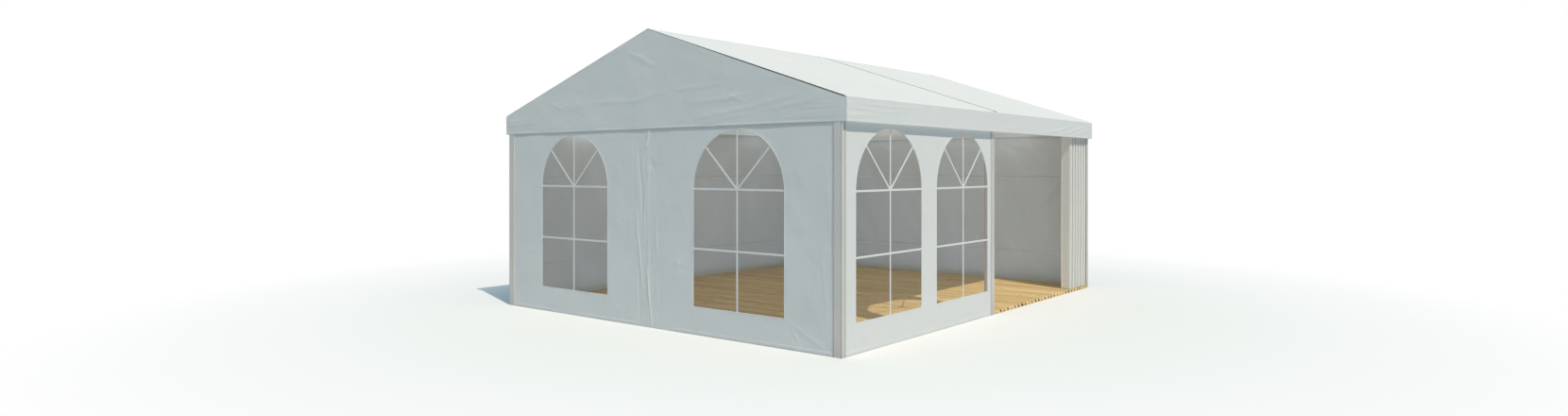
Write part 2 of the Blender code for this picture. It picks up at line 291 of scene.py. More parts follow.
# %% Fine creases that packing and pitching leave
crease_group, given, result = start_group(
    "packing creases", [("Vector", VECTOR, ORIGIN), ("Size", FLOAT, 0.4)],
    [("Height", FLOAT), ("Mask", FLOAT)])
scale = figure(crease_group, "DIVIDE", 1.0, given["Size"])
soft = cloudy(crease_group, given["Vector"], scale, 2.0, 0.45, 0.4)
fine = cloudy(crease_group, given["Vector"], figure(crease_group, "MULTIPLY", scale, 2.3), 3.0, 0.5, 0.8)
off_middle = figure(crease_group, "ABSOLUTE", figure(crease_group, "SUBTRACT", fine, 0.5))
ridge = between(crease_group, off_middle, 0.0, 0.06, 1.0, 0.0)
share = figure(crease_group, "MULTIPLY", ridge, between(crease_group, soft, 0.5, 0.62))
height = figure(crease_group, "MULTIPLY_ADD", share, 0.07, figure(crease_group, "MULTIPLY", soft, 0.93))
put(crease_group, result["Height"], height)
# The mask marks the crease lines, where the cloth finishes paint a little shade.
put(crease_group, result["Mask"], share)
print(crease_group.name, "nodes:", len(crease_group.nodes))

# %% Dust and rain marks, heavier near the ground
dust_group, given, result = start_group(
    "dust and rain marks",
    [("Vector", VECTOR, ORIGIN), ("Reach", FLOAT, 0.3), ("Amount", FLOAT, 0.3)], [("Mask", FLOAT)])
share = figure(dust_group, "DIVIDE", split_up(dust_group, given["Vector"])[2], given["Reach"])
low_down = figure(dust_group, "POWER", between(dust_group, share, 0.0, 1.0, 1.0, 0.0), 2.0)
patches = cloudy(dust_group, given["Vector"], 3.0, 4.0, 0.6)
runs = cloudy(dust_group, scaled(dust_group, given["Vector"], (9.0, 9.0, 0.9)), 1.0, 3.0, 0.6)
spread = figure(dust_group, "MULTIPLY", between(dust_group, patches, 0.4, 0.7),
                between(dust_group, runs, 0.35, 0.75))
total = figure(dust_group, "ADD", low_down, figure(dust_group, "MULTIPLY", spread, 0.35))
put(dust_group, result["Mask"], figure(dust_group, "MULTIPLY", total, given["Amount"], clamped=True))
print(dust_group.name, "nodes:", len(dust_group.nodes))

# %% Streaks of drawn metal
streak_group, given, result = start_group(
    "drawn streaks",
    [("Vector", VECTOR, ORIGIN), ("Stretch", VECTOR, (400.0, 400.0, 3.0))],
    [("Tone", FLOAT), ("Height", FLOAT)])
fine = cloudy(streak_group, scaled(streak_group, given["Vector"], given["Stretch"]), 1.0, 4.0, 0.7)
broad = cloudy(streak_group, given["Vector"], 2.5, 3.0, 0.5)
tone = figure(streak_group, "MULTIPLY_ADD", fine, 0.55, figure(streak_group, "MULTIPLY", broad, 0.45))
put(streak_group, result["Tone"], tone)
put(streak_group, result["Height"], fine)
print(streak_group.name, "nodes:", len(streak_group.nodes))

# %% Wear along edges
edge_group, given, result = start_group("edge wear", [("Width", FLOAT, 0.004)], [("Mask", FLOAT)])
rounded = add_node(edge_group, "ShaderNodeBevel", {"Radius": given["Width"]}, samples=4).outputs[0]
plain = add_node(edge_group, "ShaderNodeNewGeometry").outputs["Normal"]
agree = vector_step(edge_group, "DOT_PRODUCT", rounded, plain)["Value"]
put(edge_group, result["Mask"], between(edge_group, agree, 0.8, 0.99, 1.0, 0.0))
print("groups:", [group.name for group in bpy.data.node_groups])

# %% [markdown]
# ## Cloth, film and trim finishes
#
# A marquee's cloth is a polyester weave coated with soft white plastic. It is neither paper nor paint:
# broad and slightly satin, with the weave just printing through, old packing creases with a little painted
# shade along them, and dust where rain splashes up. The bars and hems are strips of the same material
# welded on, cleaner and glossier.
# The windows are thin clear film, so they are a clear shell with a low alpha, not solid glass.

# %% Finish helpers


def start_material(name):
    material = bpy.data.materials.new(name)
    material.use_nodes = True
    tree = material.node_tree
    shader = tree.nodes["Principled BSDF"]
    place = add_node(tree, "ShaderNodeTexCoord").outputs["Object"]
    return material, tree, shader, place


def bumped(tree, height, distance, normal=None):
    inputs = {"Height": height, "Distance": distance, "Strength": 1.0}
    if normal is not None:
        inputs["Normal"] = normal
    return add_node(tree, "ShaderNodeBump", inputs).outputs["Normal"]


def tinted(tree, mask, amount, colour, tone):
    """A colour with some of another tone where a mask is."""
    return mixed(tree, figure(tree, "MULTIPLY", mask, amount), colour, tone)


print("finish helpers are ready")

# %% Painted shade at the packing folds
FOLD_SHADE_TONE = (0.45, 0.45, 0.42, 1.0)
BAND_SHADE_TONE = (0.60, 0.62, 0.61, 1.0)


def fold_shade_marks(tree, place, colour, levels):
    """Painted shade: broken dark lines at the levels of the packing folds, and darker slanting bands
    between them.
    """
    for level in levels:
        off_line = figure(tree, "ABSOLUTE", figure(tree, "SUBTRACT", split_up(tree, place)[2], level))
        broken = between(tree, cloudy(tree, place, 2.2, 2.0, 0.5), 0.35, 0.6)
        line = figure(tree, "MULTIPLY", between(tree, off_line, 0.004, 0.016, 1.0, 0.0), broken)
        colour = tinted(tree, line, 0.5, colour, FOLD_SHADE_TONE)
    slanted = add_node(tree, "ShaderNodeVectorRotate", {"Vector": place, "Angle": 0.5},
                       rotation_type="Y_AXIS").outputs[0]
    bands = cloudy(tree, scaled(tree, slanted, (2.6, 2.6, 0.9)), 1.0, 3.0, 0.55, 0.6)
    return tinted(tree, between(tree, bands, 0.35, 0.65), 0.40, colour, BAND_SHADE_TONE)


print("tone of the fold lines:", FOLD_SHADE_TONE[:3])

# %% Recipe for coated cloth
AGEING = (0.955, 0.955, 0.93)
CREASE_SHADE_TONE = (0.62, 0.62, 0.58, 1.0)
CLOTH_DUST = (0.42, 0.39, 0.33, 1.0)
WEAVE_PITCH = 0.0012


def coated_cloth(name, clean, crease_size, crease_rise, dust_reach, dust_amount, roughness, fold_levels=()):
    material, tree, shader, place = start_material(name)
    creases = use_group(tree, crease_group, Vector=place, Size=crease_size)
    weave = use_group(tree, weave_group, Vector=place, Pitch=WEAVE_PITCH)
    dust = use_group(tree, dust_group, Vector=place, Reach=dust_reach, Amount=dust_amount)
    aged = [channel * factor for channel, factor in zip(clean, AGEING)]
    patches = between(tree, cloudy(tree, place, 1.1, 4.0, 0.6), 0.35, 0.75)
    colour = tinted(tree, patches, 0.6, (*clean, 1.0), (*aged, 1.0))
    # Painted shade: the cloth is darkened a little along the crease lines.
    colour = tinted(tree, creases["Mask"], 0.12, colour, CREASE_SHADE_TONE)
    colour = mixed(tree, dust["Mask"], colour, CLOTH_DUST)
    # Painted shade at the packing folds and along the slanting pulls.
    if fold_levels:
        colour = fold_shade_marks(tree, place, colour, fold_levels)
    put(tree, shader.inputs["Base Color"], colour)
    rough = between(tree, cloudy(tree, place, 6.0, 4.0, 0.6), 0.3, 0.7, roughness - 0.06, roughness + 0.08)
    put(tree, shader.inputs["Roughness"], rough)
    normal = bumped(tree, creases["Height"], crease_rise)
    put(tree, shader.inputs["Normal"], bumped(tree, weave["Height"], 0.00015, normal))
    shader.inputs["Specular IOR Level"].default_value = 0.35
    return material


print("weave pitch in millimetres:", 1000 * WEAVE_PITCH)

# %% Cloth finishes
PACKING_FOLDS = (1.56, 0.465)

# The numbers are the size and rise of the creases, the reach and amount of dust, and the roughness.
# The inner face is a darker, bluer copy of the wall cloth: painted shade for the inside of the tent.
wall_finish = coated_cloth("coated wall cloth", (0.79, 0.79, 0.79), 0.30, 0.006, 0.22, 0.05, 0.55)
inner_shade_finish = coated_cloth("inner wall cloth with painted shade", (0.695, 0.75, 0.78), 0.45, 0.016, 0.25, 0.16, 0.55,
                            PACKING_FOLDS)
curtain_finish = coated_cloth("coated curtain cloth", (0.765, 0.75, 0.72), 0.25, 0.004, 0.25, 0.12, 0.55)
roof_finish = coated_cloth("coated roof cloth", (0.855, 0.82, 0.805), 0.50, 0.006, 0.01, 0.08, 0.50)
trim_finish = coated_cloth("welded trim strip", (0.93, 0.93, 0.92), 0.20, 0.001, 0.10, 0.10, 0.42)
keder_finish = coated_cloth("grey keder strip", (0.56, 0.56, 0.54), 0.20, 0.001, 0.15, 0.12, 0.45)
print("cloth finishes made")

# %% Window film
film_finish, tree, shader, place = start_material("clear window film")
ripple = cloudy(tree, scaled(tree, place, (1.0, 1.0, 0.45)), 5.0, 2.0, 0.5, 0.3)
smears = between(tree, cloudy(tree, place, 7.0, 5.0, 0.65), 0.4, 0.75, 0.05, 0.22)
put(tree, shader.inputs["Base Color"],
    mixed(tree, between(tree, ripple, 0.3, 0.7), (0.30, 0.32, 0.33, 1.0), (0.24, 0.26, 0.27, 1.0)))
put(tree, shader.inputs["Roughness"], smears)
put(tree, shader.inputs["Normal"], bumped(tree, ripple, 0.004))
shader.inputs["Alpha"].default_value = 0.035
shader.inputs["IOR"].default_value = 1.5
print("film alpha:", round(shader.inputs["Alpha"].default_value, 3))

# %% Dark strip painted as the shade in gaps
gap_shade_finish, tree, shader, place = start_material("dark strip painted as gap shade")
grain = cloudy(tree, place, 300.0, 3.0, 0.6)
put(tree, shader.inputs["Base Color"],
    mixed(tree, grain, (0.055, 0.068, 0.066, 1.0), (0.10, 0.115, 0.11, 1.0)))
put(tree, shader.inputs["Roughness"], between(tree, grain, 0.3, 0.7, 0.55, 0.75))
put(tree, shader.inputs["Normal"], bumped(tree, grain, 0.0003))
print("gap shade finish made")

# %% [markdown]
# ## Aluminium finish
#
# The posts and beams are pressed from aluminium and left bare, so they are dull and slightly streaked
# along their length, with brighter wear on their corners. One finish can't serve them all, because the
# streaks have to run along each section: the same recipe is made three times with its own stretch. The
# posts are a warmer, more weathered grey than the beams and rails under the cloth.

# %% Aluminium finishes
FINE_STREAK = 400.0
LONG_STREAK = 3.0
WARM_GREYS = ((0.80, 0.74, 0.69, 1.0), (0.86, 0.80, 0.75, 1.0))
COOL_GREYS = ((0.66, 0.67, 0.67, 1.0), (0.74, 0.75, 0.75, 1.0))
METAL_DUST = (0.45, 0.42, 0.37, 1.0)
WORN_METAL = (0.92, 0.90, 0.88, 1.0)
METAL_EASING = 0.0015


def drawn_metal(name, stretch, dull, bright):
    material, tree, shader, place = start_material(name)
    streaks = use_group(tree, streak_group, Vector=place, Stretch=stretch)
    dust = use_group(tree, dust_group, Vector=place, Reach=0.30, Amount=0.35)
    wear = use_group(tree, edge_group, Width=0.003)
    colour = mixed(tree, between(tree, streaks["Tone"], 0.3, 0.7), dull, bright)
    colour = mixed(tree, dust["Mask"], colour, METAL_DUST)
    colour = tinted(tree, wear["Mask"], 0.5, colour, WORN_METAL)
    put(tree, shader.inputs["Base Color"], colour)
    put(tree, shader.inputs["Roughness"], between(tree, streaks["Tone"], 0.3, 0.7, 0.40, 0.58))
    put(tree, shader.inputs["Normal"], bumped(tree, streaks["Height"], 0.0002))
    shader.inputs["Metallic"].default_value = 0.4
    return material


def ease_edges(piece, width, segments=2):
    eased = piece.modifiers.new("eased edges", "BEVEL")
    eased.width = width
    eased.segments = segments
    eased.limit_method = "ANGLE"


upright_metal = drawn_metal("drawn aluminium upright", (FINE_STREAK, FINE_STREAK, LONG_STREAK), *WARM_GREYS)
lengthwise_metal = drawn_metal("drawn aluminium lengthwise", (FINE_STREAK, LONG_STREAK, FINE_STREAK),
                               *COOL_GREYS)
crosswise_metal = drawn_metal("drawn aluminium crosswise", (LONG_STREAK, FINE_STREAK, FINE_STREAK),
                              *COOL_GREYS)
METAL_BY_START = {
    "post": upright_metal, "rafter": crosswise_metal, "gable_rail": crosswise_metal,
    "ridge_beam": lengthwise_metal, "eave_beam": lengthwise_metal, "curtain_rail": lengthwise_metal,
}
for name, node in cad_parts.items():
    for start, metal in METAL_BY_START.items():
        if name.startswith(start):
            for entry in node.material_slots:
                entry.link = "OBJECT"
                entry.material = metal
            if start != "post":
                ease_edges(node, METAL_EASING)
print("frame nodes:", len(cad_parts))

# %% [markdown]
# ## Pine boards
# The floor is pine boards laid across the tent. Each board comes from another tree, so its tone and its
# grain start somewhere else. The boards lie at an even pitch, which lets the material work out by
# itself which board it is on: the row from the place along the tent, and the half from the butt joint,
# which changes sides from row to row. That number seeds the tone and shifts the grain. At the open bay
# the sawn ends are made paler with painted light, and their corners darker with painted shade of the
# gaps between the boards.

# %% Layout of the boards
deck_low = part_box("deck_front")[0]
deck_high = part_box("deck_back")[1]
ROWS_PER_BAY = 30
ROW_COUNT = 2 * ROWS_PER_BAY
ROW_PITCH = (deck_high.y - deck_low.y) / ROW_COUNT
BUTT_JOINT_X = 0.62
PAINTED_END_REACH = 0.013
print("board pitch in millimetres:", round(1000 * ROW_PITCH, 1))

# %% Pine finish
PALE_PINE = (0.77, 0.565, 0.28, 1.0)
DEEP_PINE = (0.54, 0.37, 0.15, 1.0)
RING_PINE = (0.47, 0.295, 0.11, 1.0)
FIBRE_PINE = (0.40, 0.25, 0.10, 1.0)
LIGHT_PINE = (0.84, 0.67, 0.40, 1.0)
KNOT_PINE = (0.22, 0.11, 0.045, 1.0)
END_LIGHT_PINE = (0.90, 0.67, 0.34, 1.0)
GAP_SHADE_PINE = (0.26, 0.14, 0.04, 1.0)

pine_finish, tree, shader, place = start_material("raw pine boards")
across, along, _ = split_up(tree, place)
rows_along = figure(tree, "DIVIDE", figure(tree, "SUBTRACT", along, deck_low.y), ROW_PITCH)
row = figure(tree, "FLOOR", rows_along)
joint = between(tree, figure(tree, "MODULO", row, 2.0), 0.0, 1.0, -BUTT_JOINT_X, BUTT_JOINT_X)
half = figure(tree, "GREATER_THAN", across, joint)
board = figure(tree, "MULTIPLY_ADD", row, 2.0, half)
lot = add_node(tree, "ShaderNodeTexWhiteNoise", {"W": board}, noise_dimensions="1D").outputs["Value"]
shift = add_node(tree, "ShaderNodeCombineXYZ", {"X": figure(tree, "MULTIPLY", board, 3.7),
                                                "Y": figure(tree, "MULTIPLY", lot, 5.0)}).outputs[0]
moved = vector_step(tree, "ADD", place, shift)[0]
rings = add_node(tree, "ShaderNodeTexWave",
                 {"Vector": scaled(tree, moved, (0.9, 16.0, 16.0)), "Scale": 1.1, "Distortion": 5.0,
                  "Detail": 3.0, "Detail Scale": 0.8}, bands_direction="Y").outputs["Fac"]
fibres = cloudy(tree, scaled(tree, moved, (3.0, 220.0, 220.0)), 1.0, 5.0, 0.65)
broad = cloudy(tree, scaled(tree, moved, (0.8, 22.0, 22.0)), 1.0, 3.0, 0.6)
spots = add_node(tree, "ShaderNodeTexVoronoi",
                 {"Vector": scaled(tree, moved, (1.5, 4.5, 0.0)), "Scale": 1.0},
                 voronoi_dimensions="2D").outputs["Distance"]
colour = mixed(tree, lot, PALE_PINE, DEEP_PINE)
colour = mixed(tree, between(tree, rings, 0.45, 1.0, 0.0, 0.7), colour, RING_PINE)
colour = mixed(tree, between(tree, fibres, 0.45, 0.68, 0.0, 0.75), colour, FIBRE_PINE)
colour = mixed(tree, between(tree, broad, 0.5, 0.68, 0.0, 0.75), colour, LIGHT_PINE)
colour = mixed(tree, between(tree, spots, 0.02, 0.07, 1.0, 0.0), colour, KNOT_PINE)
print("nodes for the pine grain:", len(tree.nodes))

# %% Ends of the boards: painted light on the sawn ends, painted shade at their corners
share = figure(tree, "FRACT", rows_along)
off_middle = figure(tree, "ABSOLUTE", figure(tree, "SUBTRACT", share, 0.5))
corner = between(tree, figure(tree, "MULTIPLY_ADD", lot, 0.22, off_middle), 0.42, 0.47)
at_end = figure(tree, "GREATER_THAN", across, deck_high.x - PAINTED_END_REACH)
# Painted light makes the sawn ends paler; painted shade darkens their corners, as in the gaps between
# boards.
colour = tinted(tree, at_end, 0.85, colour, END_LIGHT_PINE)
colour = tinted(tree, corner, at_end, colour, GAP_SHADE_PINE)
put(tree, shader.inputs["Base Color"], colour)
put(tree, shader.inputs["Roughness"], between(tree, fibres, 0.3, 0.7, 0.55, 0.78))
relief = figure(tree, "MULTIPLY_ADD", rings, 0.3, figure(tree, "MULTIPLY", fibres, 0.7))
put(tree, shader.inputs["Normal"], bumped(tree, relief, 0.0008))
print("pine finish made")

# %% [markdown]
# ## Ground
#
# The ground isn't part of the tent, so it is a plain pale disc outside the tent's collection. A white
# disc would throw more light up at the walls than ground does, so it only looks pale to the camera and
# is darker to the light that bounces off it. Close to the tent it throws back a little more, as the paving
# there does, which lifts the feet of the walls. Towards its edge it fades to the white of the backdrop,
# which hides the horizon.

# %% Ground disc
GROUND_RADIUS = 60.0
GROUND_LEVEL = -0.001
NEAR_BOUNCE = (0.495, 0.495, 0.51, 1.0)
FAR_BOUNCE = (0.40, 0.40, 0.40, 1.0)
SEEN_GROUND = (0.87, 0.86, 0.85, 1.0)

shape = bmesh.new()
bmesh.ops.create_circle(shape, cap_ends=True, segments=96, radius=GROUND_RADIUS)
mesh = bpy.data.meshes.new("ground")
shape.to_mesh(mesh)
shape.free()
ground = bpy.data.objects.new("ground", mesh)
ground.location.z = GROUND_LEVEL
scene.collection.objects.link(ground)
material, tree, shader, place = start_material("pale ground")
seen = add_node(tree, "ShaderNodeLightPath").outputs["Is Camera Ray"]
reach = vector_step(tree, "LENGTH", place)["Value"]
bounce = mixed(tree, between(tree, reach, 4.2, 5.6), NEAR_BOUNCE, FAR_BOUNCE)
put(tree, shader.inputs["Base Color"], mixed(tree, seen, bounce, SEEN_GROUND))
shader.inputs["Roughness"].default_value = 0.9
white = add_node(tree, "ShaderNodeEmission").outputs[0]
fade = figure(tree, "MULTIPLY", between(tree, reach, 4.0, 8.5), seen)
surface = blended(tree, fade, shader.outputs[0], white)
put(tree, tree.nodes["Material Output"].inputs["Surface"], surface)
mesh.materials.append(material)
print("ground radius:", GROUND_RADIUS)

# %% [markdown]
# ## From a flat cut to a hung sheet
#
# Each wall starts as the maker cuts it: a flat outline, with the window openings left out. A plain grid
# can't follow a round window head, and a boolean cut leaves long thin faces that shade badly. So the
# outline is filled with a grid of points and joined to triangles by a Delaunay fill, which keeps the
# edges exact and the cloth even. Then every point is pushed in or out by the folds, and the sheet gets
# its thickness.

# %% Points along lines


def spaced(start, end, step):
    count = max(1, round((end - start) / step))
    return [start + (end - start) * index / count for index in range(count + 1)]


def rectangle(left, right, foot, top):
    return [(left, foot), (right, foot), (right, top), (left, top)]


def walk(corners, step):
    """A closed outline through the corners with a point at about every step."""
    points = []
    for start, end in zip(corners, corners[1:] + corners[:1]):
        count = max(1, round(math.dist(start, end) / step))
        for index in range(count):
            share = index / count
            points.append((start[0] + (end[0] - start[0]) * share, start[1] + (end[1] - start[1]) * share))
    return np.array(points)


print("a metre in steps of a quarter:", spaced(0.0, 1.0, 0.25))

# %% Inside and distance


def is_inside(points, outline):
    """Which points lie in an outline: those whose ray crosses its edges an odd number of times."""
    found = np.zeros(len(points), bool)
    for start, end in zip(outline, np.roll(outline, -1, axis=0)):
        if start[1] != end[1]:
            crosses = (start[1] > points[:, 1]) != (end[1] > points[:, 1])
            reach = (end[0] - start[0]) * (points[:, 1] - start[1]) / (end[1] - start[1]) + start[0]
            found ^= crosses & (points[:, 0] < reach)
    return found


def from_line(points, start, end):
    """How far points lie from a straight line, and at which share of it each is nearest."""
    run = end - start
    share = np.clip((points - start) @ run / (run @ run), 0.0, 1.0)
    return np.linalg.norm(points - start - share[:, None] * run, axis=1), share


def distance_to(points, outline):
    nearest = np.full(len(points), np.inf)
    for start, end in zip(outline, np.roll(outline, -1, axis=0)):
        nearest = np.minimum(nearest, from_line(points, start, end)[0])
    return nearest


print("points can be tested against an outline")

# %% Filling an outline


def cut_sheet(outline, columns, rows, holes=()):
    """Flat points and triangles of a cut sheet."""
    grid = np.array([(across, up) for across in columns for up in rows])
    spare = 0.35 * min(columns[1] - columns[0], rows[1] - rows[0])
    keep = is_inside(grid, outline) & (distance_to(grid, outline) > spare)
    for hole in holes:
        keep &= ~is_inside(grid, hole) & (distance_to(grid, hole) > spare)
    edges = []
    for loop in [outline, *holes]:
        first = len(edges)
        edges += [(first + index, first + (index + 1) % len(loop)) for index in range(len(loop))]
    points = [Vector(point) for point in np.vstack([outline, *holes, grid[keep]])]
    filled = delaunay_2d_cdt(points, edges, [], 0, 0.000001)
    flat = np.array([tuple(point) for point in filled[0]])
    triangles = np.array(filled[2])
    middles = flat[triangles].mean(axis=1)
    keep = is_inside(middles, outline)
    for hole in holes:
        keep &= ~is_inside(middles, hole)
    return flat, triangles[keep].tolist()


def grid_faces(rows, columns):
    """Faces between points that are listed row by row."""
    faces = []
    for row in range(rows - 1):
        for column in range(columns - 1):
            first = row * columns + column
            faces.append((first, first + 1, first + columns + 1, first + columns))
    return faces


print("sheets can be cut")

# %% [markdown]
# ## Folds
#
# Cloth that is pulled tight doesn't hang in big waves. It keeps broad, shallow swells, and sharp little
# creases where it was folded or where the pull changes direction. Cloth simulation would give swells of
# its own liking, in other places than the photograph's. So the swells are a few crossing waves, and each
# crease is a low ridge along a line that was read off the picture, in metres on the sheet.

# %% Swells and creases


def swell(across, up, seed, size, rise, count=12):
    """Broad waves of mixed direction; size is about their length and rise their height."""
    draw = random.Random(seed)
    total = np.zeros(len(across))
    for _ in range(count):
        angle = draw.uniform(0.0, math.pi)
        length = size * draw.uniform(0.6, 1.6)
        phase = draw.uniform(0.0, 2 * math.pi)
        along = across * math.cos(angle) + up * math.sin(angle)
        total += np.cos(2 * math.pi * along / length + phase) * length / size
    return rise * total / math.sqrt(count)


def crease(across, up, points, width, rise):
    """A ridge along a line of points, lower towards both ends."""
    points = np.array(points, float)
    lengths = np.linalg.norm(np.diff(points, axis=0), axis=1)
    travelled = np.concatenate([[0.0], np.cumsum(lengths)])
    nearest = np.full(len(across), np.inf)
    along = np.zeros(len(across))
    for index, (start, end) in enumerate(zip(points, points[1:])):
        gap, share = from_line(np.column_stack([across, up]), start, end)
        closer = gap < nearest
        nearest = np.where(closer, gap, nearest)
        along = np.where(closer, (travelled[index] + share * lengths[index]) / travelled[-1], along)
    fade = np.sin(math.pi * np.clip(along * 0.92 + 0.04, 0.0, 1.0)) ** 0.7
    return rise * fade * np.exp(-((nearest / width) ** 2))


def creased(across, up, creases, depth=1.0):
    """The sum of many ridges, each with its line, width and rise."""
    total = np.zeros(len(across))
    for points, width, rise in creases:
        total += crease(across, up, points, width, depth * rise)
    return total


def dent(across, up, centre, size, rise):
    """One small round swelling or hollow."""
    gap = np.hypot(across - centre[0], up - centre[1])
    return rise * np.exp(-((gap / size) ** 2))


def smooth_step(value, low, high):
    share = np.clip((value - low) / (high - low), 0.0, 1.0)
    return share * share * (3 - 2 * share)


print("folds can be laid")

# %% [markdown]
# ## Making pieces
#
# A sheet without thickness shades badly and can't be made, so each sheet is thickened to about a
# millimetre and its rim kept sharp. Hems, bars and cords are strips: a low, rounded section that follows
# a line. Half of an ellipse is enough for them, because light shows only how the face turns.

# %% Piece helpers
SHARP_ANGLE = 40.0


def add_piece(name, mesh, finish):
    mesh.materials.append(finish)
    piece = bpy.data.objects.new(name, mesh)
    tent.objects.link(piece)
    return piece


def new_piece(name, points, faces, finish):
    mesh = bpy.data.meshes.new(name)
    mesh.from_pydata([tuple(point) for point in points], [], faces)
    return add_piece(name, mesh, finish)


def settle(piece):
    """Apply the modifiers, turn all faces outward and keep the sharp edges sharp."""
    graph = bpy.context.evaluated_depsgraph_get()
    mesh = bpy.data.meshes.new_from_object(piece.evaluated_get(graph))
    piece.modifiers.clear()
    piece.data = mesh
    shape = bmesh.new()
    shape.from_mesh(mesh)
    bmesh.ops.recalc_face_normals(shape, faces=shape.faces)
    shape.to_mesh(mesh)
    shape.free()
    mesh.shade_smooth()
    mesh.set_sharp_from_angle(angle=math.radians(SHARP_ANGLE))
    return piece


print("edges stay sharp above degrees:", SHARP_ANGLE)

# %% Sheets and their slots
CLOTH_THICKNESS = 0.0012


def new_sheet(name, points, faces, finish, thickness=CLOTH_THICKNESS):
    piece = new_piece(name, points, faces, finish)
    solid = piece.modifiers.new("cloth thickness", "SOLIDIFY")
    solid.thickness = thickness
    solid.offset = 0.0
    return settle(piece)


def hang(piece, nodes=()):
    """Let a piece ride on the tent and hide the nodes that it stands for."""
    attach(piece, "root")
    if nodes:
        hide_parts(*nodes)
    return piece


def lay_sheet(name, node, axis, sign, flat, faces, folds):
    """A cut sheet that stands in the middle of its node's box and is pushed out by its folds."""
    low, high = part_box(node)
    points = np.zeros((len(flat), 3))
    points[:, axis] = flat[:, 0]
    points[:, 1 - axis] = (low[1 - axis] + high[1 - axis]) / 2 + sign * folds
    points[:, 2] = flat[:, 1]
    return hang(new_sheet(name, points, faces, wall_finish), [node])


def cut_size(*values):
    """Width and height of a flat sheet, rounded to the millimetre."""
    return tuple(round(value, 3) for value in values)


print("cloth thickness in millimetres:", 1000 * CLOTH_THICKNESS)

# %% Strips
STRIP_STEPS = 6


def strip(name, path, width, rise, outward, finish, closed=False, roundness=1.0):
    """A strip along a path, flat behind and rounded outward; its width may be one value or a list."""
    path = np.array(path, float)
    outward = np.array(outward, float)
    ahead = np.roll(path, -1, axis=0) - path
    behind = np.roll(ahead, 1, axis=0)
    if not closed:
        ahead[-1] = behind[-1]
        behind[0] = ahead[0]
    ahead /= np.linalg.norm(ahead, axis=1)[:, None]
    behind /= np.linalg.norm(behind, axis=1)[:, None]
    along = ahead + behind
    along /= np.linalg.norm(along, axis=1)[:, None]
    sideways = np.cross(along, outward)
    mitre = 1.0 / np.clip(np.sum(along * ahead, axis=1), 0.5, 1.0)
    points = []
    for centre, side, stretch, wide in zip(path, sideways, mitre, np.broadcast_to(width, len(path))):
        for step in range(STRIP_STEPS + 1):
            angle = math.pi * step / STRIP_STEPS
            points.append(centre + side * stretch * math.cos(angle) * wide / 2
                          + outward * abs(math.sin(angle)) ** roundness * rise)
    ring = STRIP_STEPS + 1
    faces = []
    for index in range(len(path) if closed else len(path) - 1):
        first = index * ring
        second = (index + 1) % len(path) * ring
        for step in range(ring):
            following = (step + 1) % ring
            faces.append((first + step, second + step, second + following, first + following))
    if not closed:
        faces.append(tuple(range(ring)))
        faces.append(tuple(range((len(path) - 1) * ring, len(path) * ring)))
    return settle(new_piece(name, points, faces, finish))


print("points across a strip:", STRIP_STEPS + 1)

# %% Level hems


def hem_along(name, outward, low, high, foot, width, rise, sink, step):
    """A level hem whose back is sunk a little into the outer face of a sheet."""
    axis = 1 if outward[0] else 0
    sign = sum(outward)
    face = (high if sign > 0 else low)[1 - axis]
    path = []
    for place in spaced(low[axis], high[axis], step):
        point = [0.0, 0.0, foot + width / 2]
        point[axis] = place
        point[1 - axis] = face - sign * sink
        path.append(point)
    return strip(name, path, width, rise, outward, wall_finish)


print("hems can be laid")

# %% [markdown]
# ## Where the sheets hang
#
# The roof's pitch, the eave and the window openings are all in the CAD boxes. They are worked out once
# here, so the cloth meets the frame exactly.

# %% Places from the CAD boxes
roof_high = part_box("roof_cover_front")[1]
cover_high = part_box("gable_cover_front")[1]
EAVE_X = roof_high.x
RIDGE_Z = roof_high.z
ROOF_SLOPE = (cover_high.z - valance_high.z) / EAVE_X
ROOF_PITCH = math.atan(ROOF_SLOPE)
FRAME_TOP_DROP = RIDGE_Z - cover_high.z
FILM_LAP = 0.02
WALL_FOOT_Z = 0.001


def roof_z(x):
    """Height of the roof cover's top face."""
    return RIDGE_Z - ROOF_SLOPE * np.abs(x)


def under_roof_z(x):
    """Height of the frame, just under the roof cover."""
    return roof_z(x) - FRAME_TOP_DROP


print("roof pitch in degrees:", round(math.degrees(ROOF_PITCH), 1))

# %% Window openings


class Window:
    """A window opening, read from the film that closes it."""

    def __init__(self, node, axis):
        low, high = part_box(node)
        self.node = node
        self.centre = (low[axis] + high[axis]) / 2
        self.radius = (high[axis] - low[axis]) / 2 - FILM_LAP
        self.sill = low.z + FILM_LAP
        self.spring = high.z - FILM_LAP - self.radius
        self.film_low = low
        self.film_high = high

    def outline(self, lap=0.0, step=0.025):
        radius = self.radius + lap
        left = self.centre - radius
        right = self.centre + radius
        sill = self.sill - lap
        points = [(left + (right - left) * share, sill) for share in spaced(0, 1, step / radius / 2)][:-1]
        points += [(right, up) for up in spaced(sill, self.spring, step)][:-1]
        for angle in spaced(0, math.pi, step / radius):
            points.append((self.centre + radius * math.cos(angle), self.spring + radius * math.sin(angle)))
        points += [(left, up) for up in spaced(sill, self.spring, step)][-2:0:-1]
        return np.array(points)

    def beyond(self, across, up):
        """How far a point lies outside the opening."""
        head = np.hypot(across - self.centre, up - self.spring) - self.radius
        foot = np.maximum(np.abs(across - self.centre) - self.radius, self.sill - up)
        return np.where(up > self.spring, head, foot)

    def area(self, lap=0.0):
        radius = self.radius + lap
        return 2 * radius * (self.spring - self.sill + lap) + math.pi * radius ** 2 / 2


gable_windows = {side: Window(f"window_gable_{side}", 0) for side in ("left", "right")}
side_windows = [Window(f"window_side_{place}", 1) for place in ("front", "back")]
print("window width:", round(2 * gable_windows["left"].radius, 3))

